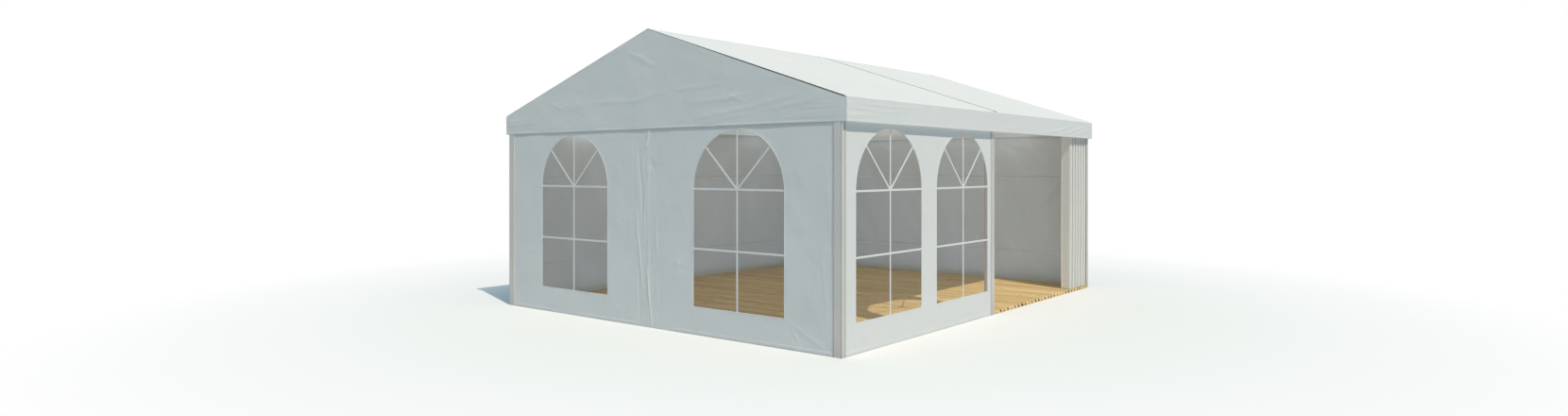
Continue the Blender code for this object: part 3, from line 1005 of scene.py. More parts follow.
# %% [markdown]
# ## Roof covers
#
# One cover lies over each bay. Its keder cords run in the rafters, so it is held along the rafters, the
# ridge and the eaves, and sags a little in between. Two flat planes would look like card, so each cover
# is one sheet that rounds over the ridge, dips by some millimetres in each slope and rolls down over the
# eave.

# %% Section of the roof covers
ROOF_GRID = 0.045
EAVE_ROLL = 0.010
EAVE_DROP = 0.012


def roof_section():
    """Points across the roof from eave to eave: place across, height, and share of the slope."""
    half = [(x, roof_z(x), x / EAVE_X) for x in spaced(0.0, EAVE_X - EAVE_ROLL, ROOF_GRID)]
    start_z = roof_z(EAVE_X - EAVE_ROLL)
    turn = math.radians(90) - ROOF_PITCH
    for angle in spaced(0.0, turn, turn / 5)[1:]:
        bend = ROOF_PITCH + angle
        x = EAVE_X - EAVE_ROLL + EAVE_ROLL * (math.sin(bend) - math.sin(ROOF_PITCH))
        z = start_z + EAVE_ROLL * (math.cos(bend) - math.cos(ROOF_PITCH))
        half.append((x, z, 1.0))
    last_x, last_z, _ = half[-1]
    half.append((last_x, last_z - EAVE_DROP, 1.0))
    return [(-x, z, share) for x, z, share in reversed(half[1:])] + half


section = roof_section()
print("points across the roof:", len(section))

# %% Shape of a roof cover
RIDGE_ROUNDING = 0.015
ROOF_SAG = 0.012
ROOF_SINK = 0.002
ROOF_FOLD_PLACES = (1.02, 2.0)
ROOF_FOLD_REACH = 2.4
roof_pieces = []
for bay, seed in (("front", 3), ("back", 4)):
    low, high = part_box(f"roof_cover_{bay}")
    stations = spaced(low.y, high.y, ROOF_GRID)
    along = np.repeat(stations, len(section))
    across, height, slope_share = np.tile(section, (len(stations), 1)).T
    bay_share = (along - low.y) / (high.y - low.y)
    held = np.sin(math.pi * bay_share) * np.sin(math.pi * slope_share)
    rounding = ROOF_SLOPE * (np.hypot(across, RIDGE_ROUNDING) - np.abs(across))
    folds = swell(across, along, seed, 0.9, 0.0014) * np.sqrt(np.clip(held, 0.0, 1.0))
    for place in ROOF_FOLD_PLACES:
        line = [(-ROOF_FOLD_REACH, low.y + place), (ROOF_FOLD_REACH, low.y + place)]
        folds += crease(across, along, line, 0.03, -0.0008)
    points = np.column_stack([across, along, height - ROOF_SINK - rounding - ROOF_SAG * held + folds])
    cover = new_sheet(f"roof_cloth_{bay}", points, grid_faces(len(stations), len(section)), roof_finish)
    hang(cover, [f"roof_cover_{bay}"])
    roof_pieces.append(cover)
    print(cover.name, "faces:", len(cover.data.polygons))

# %% [markdown]
# The cover's ends are rolled round a cord. It shows as a low, bright edge along the near rake and along
# the seam at the middle frame. At the far rake a grey cord is welded in, which outlines the roof there.

# %% Rolled edges of the roof covers
EDGE_CORD = 0.012
EDGE_RISE = 0.0035
EDGE_SINK = 0.0018
EDGE_POINTS_LEFT_OUT = 7
UPWARD = (0.0, 0.0, 1.0)
for bay, cover, rows in zip(("front", "back"), roof_pieces, (("front", "mid"), ("mid", "back"))):
    low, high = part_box(f"roof_cover_{bay}")
    for end, y in (("near", low.y + EDGE_CORD / 2), ("far", high.y - EDGE_CORD / 2)):
        path = [(x, y, z - EDGE_SINK) for x, z, _ in section[EDGE_POINTS_LEFT_OUT:-EDGE_POINTS_LEFT_OUT]]
        finish = keder_finish if (bay, end) == ("back", "far") else trim_finish
        edge = strip(f"roof_edge_{bay}_{end}", path, EDGE_CORD, EDGE_RISE, UPWARD, finish)
        hang(edge)

# %% [markdown]
# Where two covers meet, a narrow groove stays open between their cords. A dark strip in it is painted
# shade of the groove, which draws a thin grey line across the roof.

# %% Dark strip painted as shade at the seam of the roof covers
SEAM_WIDTH = 0.010
SEAM_RISE = 0.0062
SEAM_DEPTH = 0.001
RIDGE_SINK = 0.004
RIDGE_SINK_REACH = 0.12
SEAM_POINTS_LEFT_OUT = 6
path = []
for x, z, _ in section[SEAM_POINTS_LEFT_OUT:-SEAM_POINTS_LEFT_OUT]:
    path.append((x, 0.0, z - SEAM_DEPTH - RIDGE_SINK * math.exp(-(x / RIDGE_SINK_REACH) ** 2)))
seam_strip = hang(strip("roof_seam_strip", path, SEAM_WIDTH, SEAM_RISE, UPWARD, gap_shade_finish))
print(seam_strip.name, "faces:", len(seam_strip.data.polygons))

# %% [markdown]
# ## Gable covers
#
# The gable's cloth is a triangle with a band below it, in one piece. The wind and the pull of its lower
# corners draw long creases towards the corners, a fan of them at each end of the band, and short ones
# under the point. A dark strip fills the gap between its top edge and the roof cover; it is painted shade
# of that gap, which draws the thin dark line along the rakes.

# %% Creases read off the gable
COVER_CREASES = [
    ([(-0.32, 2.93), (-0.12, 2.87), (0.02, 2.80)], 0.018, 0.0022),
    ([(-0.20, 2.86), (0.00, 2.79), (0.15, 2.75)], 0.020, 0.0018),
    ([(-1.72, 2.45), (-1.54, 2.40), (-1.30, 2.32)], 0.020, 0.0016),
    ([(-1.50, 2.43), (-1.22, 2.36)], 0.020, 0.0012),
    ([(-0.95, 2.42), (-0.24, 2.40), (0.30, 2.47)], 0.028, 0.0016),
    ([(-0.10, 2.47), (0.68, 2.50), (1.10, 2.52)], 0.025, 0.0014),
    ([(0.60, 2.34), (1.14, 2.37), (1.40, 2.40)], 0.022, 0.0014),
    ([(1.04, 2.34), (1.30, 2.41)], 0.015, 0.0014),
    ([(1.12, 2.41), (1.38, 2.31)], 0.015, 0.0012),
    ([(0.70, 2.19), (1.44, 2.27), (2.00, 2.37)], 0.024, 0.0024),
    ([(0.90, 2.16), (1.56, 2.22), (2.25, 2.32)], 0.022, 0.0020),
    ([(1.70, 2.15), (2.55, 2.165)], 0.012, 0.0016),
    ([(1.95, 2.18), (2.55, 2.205)], 0.012, 0.0018),
    ([(2.05, 2.24), (2.55, 2.235)], 0.011, 0.0016),
    ([(2.12, 2.28), (2.55, 2.26)], 0.011, 0.0012),
    ([(-2.55, 2.20), (-1.90, 2.23)], 0.014, 0.0014),
    ([(-2.55, 2.24), (-2.05, 2.28)], 0.012, 0.0012),
]
COVER_DEPTH = 1.35
SHADE_GAP_HEIGHT = 0.010
SHADE_GAP_START_X = 0.10
SHADE_GAP_FULL_X = 1.60
APEX_FLAT = 0.014
FRAME_CLEARANCE = 0.0009


def shade_gap_height(x):
    """The gap above the gable cover, which opens towards the sunny corner."""
    return SHADE_GAP_HEIGHT * np.clip((x - SHADE_GAP_START_X) / (SHADE_GAP_FULL_X - SHADE_GAP_START_X), 0.0, 1.0)


def cover_folds(across, up, seed):
    total = swell(across, up, seed, 0.8, 0.0016) + swell(across, up * 3.0, seed + 1, 0.5, 0.0005)
    return total + creased(across, up, COVER_CREASES, COVER_DEPTH)


print("creases on the gable:", len(COVER_CREASES))

# %% Gable covers with their hem and a dark strip painted as the gap's shade
BAND_HEM = 0.024
BAND_HEM_STEP = 0.2
SHADE_STRIP_RISE = 0.0018
SHADE_STRIP_SINK = 0.0015
for gable, sign, seed in (("front", -1, 11), ("back", 1, 17)):
    low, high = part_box(f"gable_cover_{gable}")
    outward = (0.0, sign, 0.0)
    corners = [(-EAVE_X, low.z), (EAVE_X, low.z)]
    for x in (EAVE_X, SHADE_GAP_FULL_X, SHADE_GAP_START_X, APEX_FLAT, -APEX_FLAT, -EAVE_X):
        corners.append((x, float(under_roof_z(x) - shade_gap_height(x))))
    outline = walk(corners, 0.03)
    flat, faces = cut_sheet(outline, spaced(-EAVE_X, EAVE_X, 0.03), spaced(low.z, high.z, 0.014))
    edge = smooth_step(distance_to(flat, outline), 0.0, 0.04)
    folds = cover_folds(flat[:, 0] * -sign, flat[:, 1], seed) * (0.35 + 0.65 * edge)
    folds = np.maximum(folds, -FRAME_CLEARANCE)
    cover = lay_sheet(f"gable_cloth_{gable}", f"gable_cover_{gable}", 0, sign,
                      flat, faces, folds)
    hem = hem_along(f"gable_hem_{gable}", outward, low, high, low.z, BAND_HEM,
                    rise=0.0012, sink=0.0012, step=BAND_HEM_STEP)
    # A dark strip fills the gap above the cover: painted shade of the gap.
    xs = spaced(SHADE_GAP_START_X + 0.05, EAVE_X - 0.03, 0.15)
    shade_strip_y = (high if sign > 0 else low).y - sign * SHADE_STRIP_SINK
    path = [(x, shade_strip_y, float(under_roof_z(x) - shade_gap_height(x) / 2)) for x in xs]
    shade_strip = strip(f"rake_shade_strip_{gable}", path, [float(shade_gap_height(x)) for x in xs], SHADE_STRIP_RISE, outward,
                 gap_shade_finish)
    trims = [hang(hem), hang(shade_strip)]
    band = under_roof_z(EAVE_X) - low.z
    area = 2 * EAVE_X * band + EAVE_X * (high.z - low.z - band)
    print(cover.name, "flat area:", round(area, 3))

# %% [markdown]
# ## Valances
#
# The valance is the band that hangs below each eave. It is stretched between the gables, so it stays
# almost flat, with a few level ripples near its ends and a hem along its foot.

# %% Valances
VALANCE_CREASES = [
    ([(1.30, 2.12), (1.80, 2.17), (2.40, 2.27)], 0.018, 0.0030),
    ([(1.75, 2.11), (2.20, 2.16), (2.75, 2.25)], 0.016, 0.0034),
    ([(2.20, 2.12), (3.00, 2.21)], 0.014, 0.0026),
    ([(0.20, 2.15), (0.90, 2.19)], 0.016, 0.0018),
    ([(-3.00, 2.27), (-2.30, 2.26), (-1.60, 2.28)], 0.010, 0.0018),
    ([(-3.00, 2.22), (-2.40, 2.21), (-1.90, 2.23)], 0.010, 0.0016),
    ([(-3.00, 2.16), (-2.50, 2.17)], 0.010, 0.0012),
]
CORNER_WIDTH = 0.012
for side, sign in (("left", -1), ("right", 1)):
    low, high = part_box(f"valance_{side}")
    outward = (sign, 0.0, 0.0)
    outline = walk(rectangle(low.y, high.y, low.z, high.z), 0.03)
    flat, faces = cut_sheet(outline, spaced(low.y, high.y, 0.04), spaced(low.z, high.z, 0.011))
    along, up = flat[:, 0], flat[:, 1]
    ends = 1 - smooth_step(np.minimum(along - low.y, high.y - along), 0.0, 0.9)
    folds = swell(along, up, 21 + sign, 0.9, 0.0009)
    folds += ends * swell(along * 0.12, up, 25 + sign, 0.06, 0.0007)
    folds += creased(along, up, VALANCE_CREASES)
    folds = np.maximum(folds, -FRAME_CLEARANCE)
    cloth = lay_sheet(f"valance_cloth_{side}", f"valance_{side}", 1, sign,
                      flat, faces, folds)
    hem = hem_along(f"valance_hem_{side}", outward, low, high, low.z, BAND_HEM,
                    rise=0.0010, sink=0.0012, step=BAND_HEM_STEP)
    corner_x = (high if sign > 0 else low).x - sign * 0.001
    path = [(corner_x, low.y + CORNER_WIDTH / 2, z) for z in spaced(low.z, high.z - CORNER_WIDTH, 0.05)]
    corner = strip(f"valance_corner_{side}", path, CORNER_WIDTH, 0.0016, outward, trim_finish)
    hang(hem)
    hang(corner)
    print(cloth.name, "faces:", len(cloth.data.polygons))

# %% [markdown]
# ## Front gable walls
#
# Two panels close the gable and overlap in the middle, where the spare width lies in upright folds that
# wander a little. Small dents sit beside the windows, and long creases run up to the near post. The
# lines below were read off the photograph, across and up on the wall in metres. Around the overlap the
# cloth is also finely crumpled. Such small creases are too many to read off, so they are drawn at random
# from a fixed seed.

# %% Creases of the front gable walls
FRONT_WALL_CREASES = [
    ([(0.03, 2.35), (0.004, 2.06), (-0.03, 1.93), (-0.07, 1.82), (-0.11, 1.66)], 0.012, 0.0050),
    ([(-0.15, 1.98), (-0.143, 1.76), (-0.109, 1.47), (-0.086, 1.14)], 0.013, -0.0034),
    ([(0.03, 1.76), (-0.03, 1.50), (-0.07, 1.20), (-0.05, 0.85)], 0.013, 0.0030),
    ([(-0.20, 1.30), (-0.175, 1.00), (-0.152, 0.84), (-0.12, 0.61), (-0.10, 0.40)], 0.013, 0.0042),
    ([(-0.155, 0.66), (-0.145, 0.25), (-0.14, 0.02)], 0.014, -0.0032),
    ([(-0.04, 0.70), (-0.003, 0.43), (0.019, 0.25), (0.048, 0.02), (0.07, -0.18)], 0.013, 0.0052),
    ([(0.11, 1.20), (0.12, 0.95), (0.13, 0.70)], 0.012, 0.0032),
    ([(0.19, 2.04), (0.20, 1.85), (0.21, 1.62)], 0.013, 0.0012),
    ([(0.03, 1.78), (0.08, 1.68), (0.13, 1.60)], 0.014, -0.0016),
    ([(0.43, 1.47), (0.51, 1.19), (0.58, 1.06), (0.635, 0.95)], 0.010, 0.0018),
    ([(-0.58, 1.20), (-0.60, 1.13), (-0.625, 1.00)], 0.010, 0.0016),
    ([(2.33, 1.66), (2.35, 1.35), (2.375, 1.05)], 0.016, 0.0018),
    ([(2.37, 1.20), (2.31, 0.95), (2.22, 0.68), (2.09, 0.20)], 0.018, 0.0022),
    ([(2.26, 0.98), (2.31, 0.60), (2.34, 0.28)], 0.016, 0.0020),
    ([(1.50, 0.22), (1.70, 0.13)], 0.014, 0.0014),
    ([(1.87, 0.27), (2.06, 0.17), (2.34, 0.05)], 0.016, 0.0024),
    ([(1.90, 0.24), (1.97, 0.14), (2.02, 0.03)], 0.014, 0.0018),
    ([(-2.30, 1.20), (-2.33, 0.80)], 0.015, 0.0012),
    ([(-0.62, 0.24), (-0.42, 0.12)], 0.014, 0.0012),
    ([(-2.10, 0.16), (-1.80, 0.20)], 0.014, 0.0010),
]
FRONT_WALL_DENTS = [
    ((0.05, 1.71), 0.045, -0.0036), ((-2.06, 0.69), 0.042, 0.0036), ((-2.02, 0.65), 0.036, -0.0030),
    ((0.44, 0.70), 0.042, 0.0040), ((0.47, 0.655), 0.036, -0.0034), ((2.03, 1.62), 0.070, 0.0022),
    ((1.95, 1.32), 0.060, 0.0020), ((1.97, 1.05), 0.060, -0.0016), ((-0.47, 1.61), 0.060, 0.0020),
    ((-0.49, 1.35), 0.055, 0.0022), ((-0.51, 1.09), 0.055, 0.0018), ((2.12, 0.45), 0.090, 0.0016),
]
FRONT_WALL_DEPTH = 1.2
print("creases and dents read off:", len(FRONT_WALL_CREASES) + len(FRONT_WALL_DENTS))

# %% Fine creases beside the overlap
FINE_CREASES = 18
draw = random.Random(37)
for _ in range(FINE_CREASES):
    across = draw.uniform(-0.22, 0.20)
    up = draw.uniform(0.55, 2.05)
    run = draw.uniform(0.25, 0.55)
    lean = draw.uniform(-0.06, 0.03)
    line = [(across, up), (across + 0.6 * lean, up - 0.5 * run), (across + lean, up - run)]
    rise = draw.choice((-1, 1)) * draw.uniform(0.0008, 0.0017)
    FRONT_WALL_CREASES.append((line, draw.uniform(0.008, 0.012), rise))
print("creases in all:", len(FRONT_WALL_CREASES))

# %% Relief of the front gable walls


def front_wall_folds(across, up, window):
    total = swell(across, up, 31, 0.75, 0.0015)
    total += creased(across, up, FRONT_WALL_CREASES, FRONT_WALL_DEPTH)
    for centre, size, rise in FRONT_WALL_DENTS:
        total += dent(across, up, centre, size, FRONT_WALL_DEPTH * rise)
    return total * smooth_step(window.beyond(across, up), 0.0, 0.03)


def dense_near(start, end, wide, fine, centre, reach):
    """Places from start to end, closer together near the centre."""
    places = [start]
    while places[-1] < end:
        step = fine if abs(places[-1] - centre) < reach else wide
        places.append(places[-1] + step)
    return places[:-1] + [end]


print("relief of the front gable walls is ready")

# %% Front gable walls
OVERLAP = 0.03
OVERLAP_RISE = 0.0018
EDGE_WANDER = 0.006
WALL_GRID = 0.028
wall_sheets = []
for side in ("left", "right"):
    low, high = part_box(f"gable_wall_front_{side}")
    window = gable_windows[side]
    start, end = (low.x, high.x) if side == "left" else (-OVERLAP, high.x)
    outline = walk(rectangle(start, end, WALL_FOOT_Z, high.z), 0.02)
    columns = dense_near(start, end, 0.018, 0.009, 0.0, 0.26)
    flat, faces = cut_sheet(outline, columns, spaced(WALL_FOOT_Z, high.z, WALL_GRID), [window.outline()])
    across, up = flat[:, 0], flat[:, 1]
    folds = front_wall_folds(across, up, window)
    if side == "right":
        folds += OVERLAP_RISE * (1 - smooth_step(across, 0.0, 0.02))
        flat[:, 0] += EDGE_WANDER * np.sin(9.0 * up) * (across < start + 0.001)
    cloth = lay_sheet(f"gable_cloth_wall_front_{side}", f"gable_wall_front_{side}", 0, -1,
                      flat, faces, folds)
    size = (end - start, high.z - low.z)
    wall_sheets.append((cloth, size, size[0] * size[1] - window.area(), "gable_rail_front", [window],
                        (0.0, -1.0, 0.0), low, high))
    print(cloth.name, "faces:", len(cloth.data.polygons))

# %% [markdown]
# ## The side wall with two windows
#
# This wall faces the sun and is pulled tight in both directions, so it is the smoothest of all. A grey
# keder strip closes it against the posts at both ends.

# %% Side wall with windows
SIDE_WALL_CREASES = [
    ([(-1.47, 0.26), (-1.45, 0.14)], 0.012, 0.0012),
    ([(-2.90, 0.12), (-2.50, 0.16)], 0.014, 0.0010),
]
low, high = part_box("side_wall_right_front")
outline = walk(rectangle(low.y, high.y, WALL_FOOT_Z, high.z), 0.025)
flat, faces = cut_sheet(outline, spaced(low.y, high.y, 0.025), spaced(WALL_FOOT_Z, high.z, WALL_GRID),
                        [window.outline() for window in side_windows])
along, up = flat[:, 0], flat[:, 1]
folds = swell(along, up, 41, 0.8, 0.0010) + creased(along, up, SIDE_WALL_CREASES)
for window in side_windows:
    folds *= smooth_step(window.beyond(along, up), 0.0, 0.07)
cloth = lay_sheet("side_cloth_right_front", "side_wall_right_front", 1, 1,
                  flat, faces, folds)
size = (high.y - low.y, high.z - low.z)
area = size[0] * size[1] - sum(window.area() for window in side_windows)
wall_sheets.append((cloth, size, area, "eave_beam_front_right", side_windows, (1.0, 0.0, 0.0), low, high))
print(cloth.name, "faces:", len(cloth.data.polygons))

# %% [markdown]
# ## Plain walls
#
# The left side and the back have no windows. Their insides show through the windows and the open bay,
# so their folds matter: two level packing folds, soft slanting pulls between them, and crumpling near
# the top where the panels hang from their rails. The pulls behind the open bay were read off the
# picture. The outer face is white like the other walls. The inner face is a darker, bluer copy of the
# same cloth, which is painted shade, with painted dark lines of shade at the folds and darker slanting
# bands, so each sheet has two finishes, told apart by the side that a face turns to.

# %% Relief of the plain walls
BAY_WALL_PULLS = [
    ([(1.00, 1.05), (1.13, 0.92), (1.30, 0.71), (1.51, 0.42), (1.65, 0.08)], 0.060, 0.018),
    ([(1.28, 1.50), (1.36, 1.43), (1.49, 1.22), (1.61, 0.94), (1.70, 0.70)], 0.050, 0.016),
    ([(2.15, 1.50), (2.08, 1.48), (1.94, 1.29), (1.81, 1.13), (1.76, 0.95)], 0.045, -0.011),
    ([(1.10, 2.05), (1.30, 1.98), (1.59, 1.89)], 0.050, 0.016),
    ([(1.50, 2.16), (1.62, 2.03), (1.70, 1.85)], 0.045, -0.011),
    ([(0.50, 1.40), (0.75, 0.95), (0.85, 0.50)], 0.060, 0.016),
]
PACKING_CREASES = []
for level in PACKING_FOLDS:
    PACKING_CREASES.append(([(-4.0, level), (4.0, level)], 0.012, 0.005))
    PACKING_CREASES.append(([(-4.0, level - 0.026), (4.0, level - 0.026)], 0.012, -0.005))
LOOSE_PULLS = 16


def plain_wall_folds(along, up, seed, height):
    total = swell(along, up, seed, 0.8, 0.006) + swell(along, up, seed + 1, 0.30, 0.0016)
    total += creased(along, up, PACKING_CREASES)
    draw = random.Random(seed)
    for _ in range(LOOSE_PULLS):
        place = draw.uniform(-3.0, 3.0)
        level = draw.uniform(0.2, height)
        lean = draw.uniform(-0.5, 0.5)
        line = [(place, level), (place + lean, level - draw.uniform(0.25, 0.7))]
        total += crease(along, up, line, draw.uniform(0.02, 0.045), draw.uniform(-0.003, 0.003))
    crumple = swell(along, up, seed + 2, 0.20, 0.0022)
    return total + crumple * smooth_step(up, height - 0.55, height)


print("pulls behind the open bay:", len(BAY_WALL_PULLS))

# %% Plain walls
PLAIN_WALLS = [
    ("side_wall_left_front", 1, (-1.0, 0.0, 0.0), "eave_beam_front_left", 51),
    ("side_wall_left_back", 1, (-1.0, 0.0, 0.0), "eave_beam_back_left", 55),
    ("gable_wall_back_left", 0, (0.0, 1.0, 0.0), "gable_rail_back", 59),
    ("gable_wall_back_right", 0, (0.0, 1.0, 0.0), "gable_rail_back", 63),
]
DEEPEST_HOLLOW = 0.012
for node, axis, outward, carrier, seed in PLAIN_WALLS:
    low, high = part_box(node)
    start, end = low[axis], high[axis]
    outline = walk(rectangle(start, end, WALL_FOOT_Z, high.z), 0.03)
    flat, faces = cut_sheet(outline, spaced(start, end, 0.022), spaced(WALL_FOOT_Z, high.z, 0.018))
    along, up = flat[:, 0], flat[:, 1]
    folds = plain_wall_folds(along, up, seed, high.z)
    if node == "gable_wall_back_right":
        folds += creased(along, up, BAY_WALL_PULLS)
    folds *= 0.15 + 0.85 * smooth_step(distance_to(flat, outline), 0.0, 0.12)
    folds = np.maximum(folds, -DEEPEST_HOLLOW)
    cloth = lay_sheet(node.replace("wall", "cloth"), node, axis, sum(outward),
                      flat, faces, folds)
    # The inner faces take the darker, bluer cloth, which is painted shade.
    cloth.data.materials.append(inner_shade_finish)
    for face in cloth.data.polygons:
        face.material_index = int(face.normal.dot(Vector(outward)) < 0)
    size = (end - start, high.z - low.z)
    wall_sheets.append((cloth, size, size[0] * size[1], carrier, [], outward, low, high))
    print(cloth.name, "faces:", len(cloth.data.polygons))

# %% [markdown]
# ## Window film and bars
#
# Clear film is welded behind each opening. Strips of the wall's own cloth stand on it as bars: one
# upright, two level ones, and two slanting ones that fan out from the middle of the arch. They are
# flat with a turned edge, so they look like the wall, and only their upper edge catches the sun. A
# narrow welded rim closes the cut edge of the cloth.

# %% Film
FILM_THICKNESS = 0.0005
FILM_EASE = 0.002
FILM_SINK = 0.0008
FILM_GRID = 0.03


def in_wall(window, outward, across, up, proud):
    """A point on a window's film; proud tells how far it stands out from the film's outer face."""
    if outward[0]:
        return (window.film_high.x + proud, across, up)
    return (across, window.film_low.y - proud, up)


def film_sheet(window, outward):
    outline = window.outline(FILM_LAP - FILM_EASE, FILM_GRID)
    reach = window.radius + FILM_LAP
    flat, faces = cut_sheet(outline, spaced(window.centre - reach, window.centre + reach, FILM_GRID),
                            spaced(window.sill - FILM_LAP, window.spring + reach, FILM_GRID))
    ripple = swell(flat[:, 0], flat[:, 1], 71, 0.35, 0.0003)
    points = [in_wall(window, outward, across, up, push - FILM_SINK)
              for (across, up), push in zip(flat, ripple)]
    name = window.node.replace("window", "film")
    return hang(new_sheet(name, points, faces, film_finish, FILM_THICKNESS), [window.node])


print("film thickness in millimetres:", 1000 * FILM_THICKNESS)

# %% Bars and rim of a window
BAR_WIDTH = 0.020
BAR_RISE = 0.003
BAR_ROUNDNESS = 0.3
BAR_SINK = 0.0004
MIDDLE_BAR_SHARE = 0.492
RIM_WIDTH = 0.006
RIM_RISE = 0.0045
RIM_OFFSET = 0.0015


def window_trim(window, outward):
    name = window.node.replace("window_", "")
    top = window.spring + window.radius
    middle_level = window.sill + (window.spring - window.sill) * MIDDLE_BAR_SHARE
    left, right = window.centre - window.radius, window.centre + window.radius
    lean = window.radius * math.sqrt(0.5)
    hub = (window.centre, window.spring)
    lines = {
        "upright": [(window.centre, window.sill), (window.centre, top)],
        "spring": [(left, window.spring), (right, window.spring)],
        "middle": [(left, middle_level), (right, middle_level)],
        "fan_left": [hub, (window.centre - lean, window.spring + lean)],
        "fan_right": [hub, (window.centre + lean, window.spring + lean)],
    }
    made = []
    for order, (place, ends) in enumerate(lines.items()):
        path = [in_wall(window, outward, *point, -BAR_SINK * (1 + order % 3)) for point in ends]
        made.append(strip(f"bar_{name}_{place}", path, BAR_WIDTH, BAR_RISE, outward, wall_finish,
                          roundness=BAR_ROUNDNESS))
    path = [in_wall(window, outward, *point, 0.0002) for point in window.outline(RIM_OFFSET)]
    made.append(strip(f"rim_{name}", path, RIM_WIDTH, RIM_RISE, outward, wall_finish, closed=True))
    return [hang(piece) for piece in made]


print("bar width in millimetres:", 1000 * BAR_WIDTH)

# %% [markdown]
# The top of each wall is turned in under its beam or rail and up its inner face, so seen from inside
# the cloth goes on to the eave. The lap is the same for every wall, so one function makes it from the
# box of the beam.

# %% Lap over the beam
LAP_HEIGHT = 0.085
LAP_CLEARANCE = 0.0014
LAP_TURN = 0.004
LAP_INSET = 0.002
LAP_THICKNESS = 0.001
WALL_STEP = 0.15


def top_lap(name, beam, outward, low, high):
    """The wall's top, turned in under its beam and up the beam's inner face."""
    axis = 1 if outward[0] else 0
    sign = sum(outward)
    beam_low, beam_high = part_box(beam)
    inner = (beam_low if sign > 0 else beam_high)[1 - axis] - sign * LAP_CLEARANCE
    foot = beam_low.z - LAP_CLEARANCE
    profile = [((low[1 - axis] + high[1 - axis]) / 2, foot)]
    for angle in spaced(0.0, math.pi / 2, math.pi / 10):
        depth = inner + sign * LAP_TURN * (1 - math.sin(angle))
        profile.append((depth, foot + LAP_TURN * (1 - math.cos(angle))))
    profile.append((inner, min(foot + LAP_HEIGHT, beam_high.z)))
    stations = spaced(low[axis] + LAP_INSET, high[axis] - LAP_INSET, WALL_STEP)
    points = []
    for place in stations:
        points += [(depth, place, up) if axis else (place, depth, up) for depth, up in profile]
    faces = grid_faces(len(stations), len(profile))
    return hang(new_sheet(name, points, faces, inner_shade_finish, LAP_THICKNESS))


print("lap height in millimetres:", 1000 * LAP_HEIGHT)

# %% Hems, laps, films and bars for every wall
FOOT_HEM = 0.04
for cloth, size, area, carrier, windows, outward, low, high in wall_sheets:
    lap = top_lap(f"top_lap_{cloth.name}", carrier, outward, low, high)
    hem = hem_along(f"foot_hem_{cloth.name}", outward, low, high, WALL_FOOT_Z, FOOT_HEM,
                    rise=0.0018, sink=0.0018, step=WALL_STEP)
    for window in windows:
        film = film_sheet(window, outward)
        round(window.area(FILM_LAP), 3)
        window_trim(window, outward)
    hang(hem)
    print(cloth.name, "is cut to", cut_size(*size), "area", round(area, 3))

# %% Grey keder strips beside the posts
KEDER_TOP = 2.12

# Each strip has its place along the wall, width, rise and the place of its back.
KEDER_STRIPS = {"near": (-2.983, 0.034, 0.0025, 2.4996), "mid": (-0.0445, 0.029, 0.005, 2.4946)}
for name, (y, width, rise, back_x) in KEDER_STRIPS.items():
    path = [(back_x, y, z) for z in spaced(WALL_FOOT_Z, KEDER_TOP, 0.2)]
    keder = strip(f"keder_strip_{name}", path, width, rise, (1.0, 0.0, 0.0), keder_finish)
    hang(keder)
print("keder strips made")

# %% [markdown]
# ## The gathered curtain
#
# The open bay is closed by a curtain that runs on a rail. Drawn back, it stands against the back post in
# six pleats, each a loop with a flattened end rather than a zigzag. The line of the pleats is made first:
# it swings between the inner and the outer side while it creeps towards the post, and it creeps mostly
# in the turns, which leaves the flanks of the pleats straight. It starts on a flank, so the first pleat
# turns a flat face to the picture, and it ends on the outside at the post.

# %% Line of the pleats
FIRST_TURN = 0.13
LAST_TURN = 5.55
STEPS_PER_PLEAT = 28
FRONT_PLEAT_DEPTH = 0.157
PLEAT_DEEPENING = 0.004
PLEAT_ROUNDNESS = 0.55
PLEAT_LEAN = 0.017
LOOP_FULLNESS = 1.2
FRONT_GAP = 0.020
POST_GAP = 0.0045
low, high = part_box("curtain")
turns = np.linspace(FIRST_TURN, LAST_TURN, round((LAST_TURN - FIRST_TURN) * STEPS_PER_PLEAT) + 1)
swing = np.cos(2 * math.pi * turns)
inward = 0.5 + 0.5 * np.sign(swing) * np.abs(swing) ** PLEAT_ROUNDNESS
depths = np.minimum(FRONT_PLEAT_DEPTH + PLEAT_DEEPENING * turns, high.x - low.x - CLOTH_THICKNESS)
creep = turns + LOOP_FULLNESS * np.sin(4 * math.pi * turns) / (4 * math.pi)
creep = (creep - creep[0]) / (creep[-1] - creep[0])
print("points along the pleats:", len(turns))

# %% Curtain
OUTER_GAP = 0.002
SIDE_WANDER = 0.006
PLEAT_WANDER = 0.004
draw = random.Random(81)
drift = [draw.uniform(0, 2 * math.pi) for _ in range(4)]
levels = spaced(low.z, high.z, 0.05)
points = []
for level in levels:
    slack = 1 - (level - low.z) / (high.z - low.z)
    wander = SIDE_WANDER * slack * np.sin(turns * 3.1 + drift[1] + 1.5 * level)
    xs = high.x - OUTER_GAP - depths * inward - np.abs(wander)
    ys = low.y + FRONT_GAP + (high.y - low.y - FRONT_GAP - POST_GAP) * creep
    ys += PLEAT_LEAN * inward * (1 - creep)
    ys += PLEAT_WANDER * slack * np.sin(turns * 2.2 + drift[2] + 2.0 * level)
    points += [(x, y, level) for x, y in zip(xs, ys)]
curtain = new_sheet("curtain_cloth", points, grid_faces(len(levels), len(turns)), curtain_finish)
hang(curtain, ["curtain"])

# %% [markdown]
# ## Floor boards
#
# The slab of the CAD deck stands for separate boards. Each board is cut to length, notched round the
# posts and eased along its edges, and the boards leave narrow dark gaps. Their ends at the open bay are
# not all cut the same, which gives that edge its uneven line. Bearers carry them.

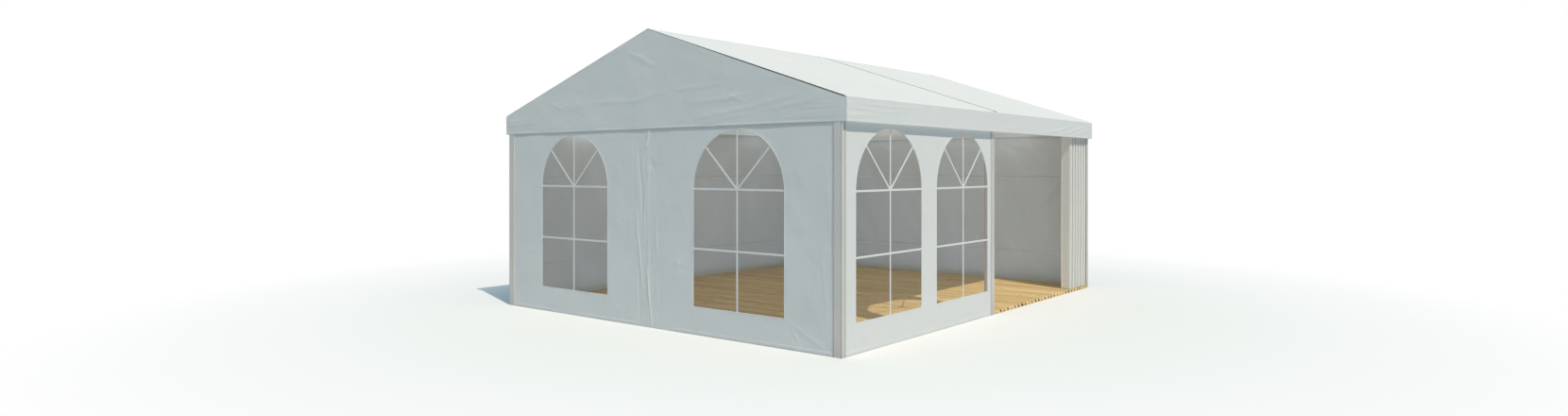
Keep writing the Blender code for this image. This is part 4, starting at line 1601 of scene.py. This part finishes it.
# %% Plan of a board
BOARD_THICKNESS = 0.021
BOARD_GAP = 0.006
POST_CLEARANCE = 0.0004
END_CUTS = (0.0, 0.001, 0.003, 0.006, 0.009, 0.011)
deck_boxes = {bay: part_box(f"deck_{bay}") for bay in ("front", "back")}
post_boxes = [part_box(f"post_{row}_right") for row in ("front", "mid", "back")]
POST_ZONES = [(low.y - POST_CLEARANCE, high.y + POST_CLEARANCE) for low, high in post_boxes]
INNER_REACH = post_boxes[1][0].x - POST_CLEARANCE


def reach_at(y, reach):
    blocked = any(start < y < end for start, end in POST_ZONES)
    return INNER_REACH if blocked else reach


def board_outline(start, end, left, right):
    """Plan of one board; left and right are its ends, cut back where a post stands."""
    breaks = [start]
    breaks += [edge for zone in POST_ZONES for edge in zone if start < edge < end]
    breaks.append(end)
    right_side = []
    left_side = []
    for first, second in zip(breaks, breaks[1:]):
        middle = (first + second) / 2
        x = min(right, reach_at(middle, right))
        right_side += [(x, first), (x, second)]
        x = max(left, -reach_at(middle, -left))
        left_side += [(x, first), (x, second)]
    return right_side + left_side[::-1]


def add_block(shape, corners, foot, top):
    """A block with a given plan between two heights."""
    lower = [shape.verts.new((x, y, foot)) for x, y in corners]
    upper = [shape.verts.new((x, y, top)) for x, y in corners]
    shape.faces.new(lower[::-1])
    shape.faces.new(upper)
    for index in range(len(corners)):
        following = (index + 1) % len(corners)
        shape.faces.new((lower[index], lower[following], upper[following], upper[index]))


def timber(name, shape, easing, segments):
    """A piece of pine made from a shape, with its edges eased."""
    mesh = bpy.data.meshes.new(name)
    shape.to_mesh(mesh)
    shape.free()
    piece = add_piece(name, mesh, pine_finish)
    ease_edges(piece, easing, segments)
    return settle(piece)


print("posts stand in the way at", [round(zone[0], 3) for zone in POST_ZONES])

# %% Boards
BUTT_GAP = 0.001
draw = random.Random(91)
for bay, first_row in (("front", 0), ("back", ROWS_PER_BAY)):
    low, high = deck_boxes[bay]
    shape = bmesh.new()
    for row in range(first_row, first_row + ROWS_PER_BAY):
        start = deck_low.y + row * ROW_PITCH + BOARD_GAP / 2
        end = start + ROW_PITCH - BOARD_GAP
        joint = BUTT_JOINT_X if row % 2 else -BUTT_JOINT_X
        open_end = high.x - (draw.choice(END_CUTS) if bay == "back" else 0.0)
        for left, right in ((low.x, joint - BUTT_GAP), (joint + BUTT_GAP, open_end)):
            top = high.z - draw.uniform(0.0, 0.0008)
            add_block(shape, board_outline(start, end, left, right), top - BOARD_THICKNESS, top)
    bmesh.ops.remove_doubles(shape, verts=shape.verts, dist=0.00001)
    boards = timber(f"deck_boards_{bay}", shape, 0.0015, 2)
    hang(boards, [f"deck_{bay}"])
    print(boards.name, "faces:", len(boards.data.polygons))

# %% Bearers under the boards
BEARER_WIDTH = 0.045
BEARERS_IN_BAY = 7
BEARER_SETBACK = 0.003
BEARER_END_GAP = 0.002
BEARER_TOP_GAP = 0.001
for order, (bay, (low, high)) in enumerate(deck_boxes.items()):
    shape = bmesh.new()
    first = low.x + BEARER_SETBACK + BEARER_WIDTH / 2
    last = high.x - BEARER_SETBACK - BEARER_WIDTH / 2
    near = POST_ZONES[order][1] + BEARER_END_GAP
    far = POST_ZONES[order + 1][0] - BEARER_END_GAP
    for middle in spaced(first, last, (last - first) / (BEARERS_IN_BAY - 1)):
        plan = rectangle(middle - BEARER_WIDTH / 2, middle + BEARER_WIDTH / 2, near, far)
        add_block(shape, plan, 0.0, high.z - BOARD_THICKNESS - BEARER_TOP_GAP)
    hang(timber(f"deck_bearers_{bay}", shape, 0.001, 1))
print("bearers in each bay:", BEARERS_IN_BAY)
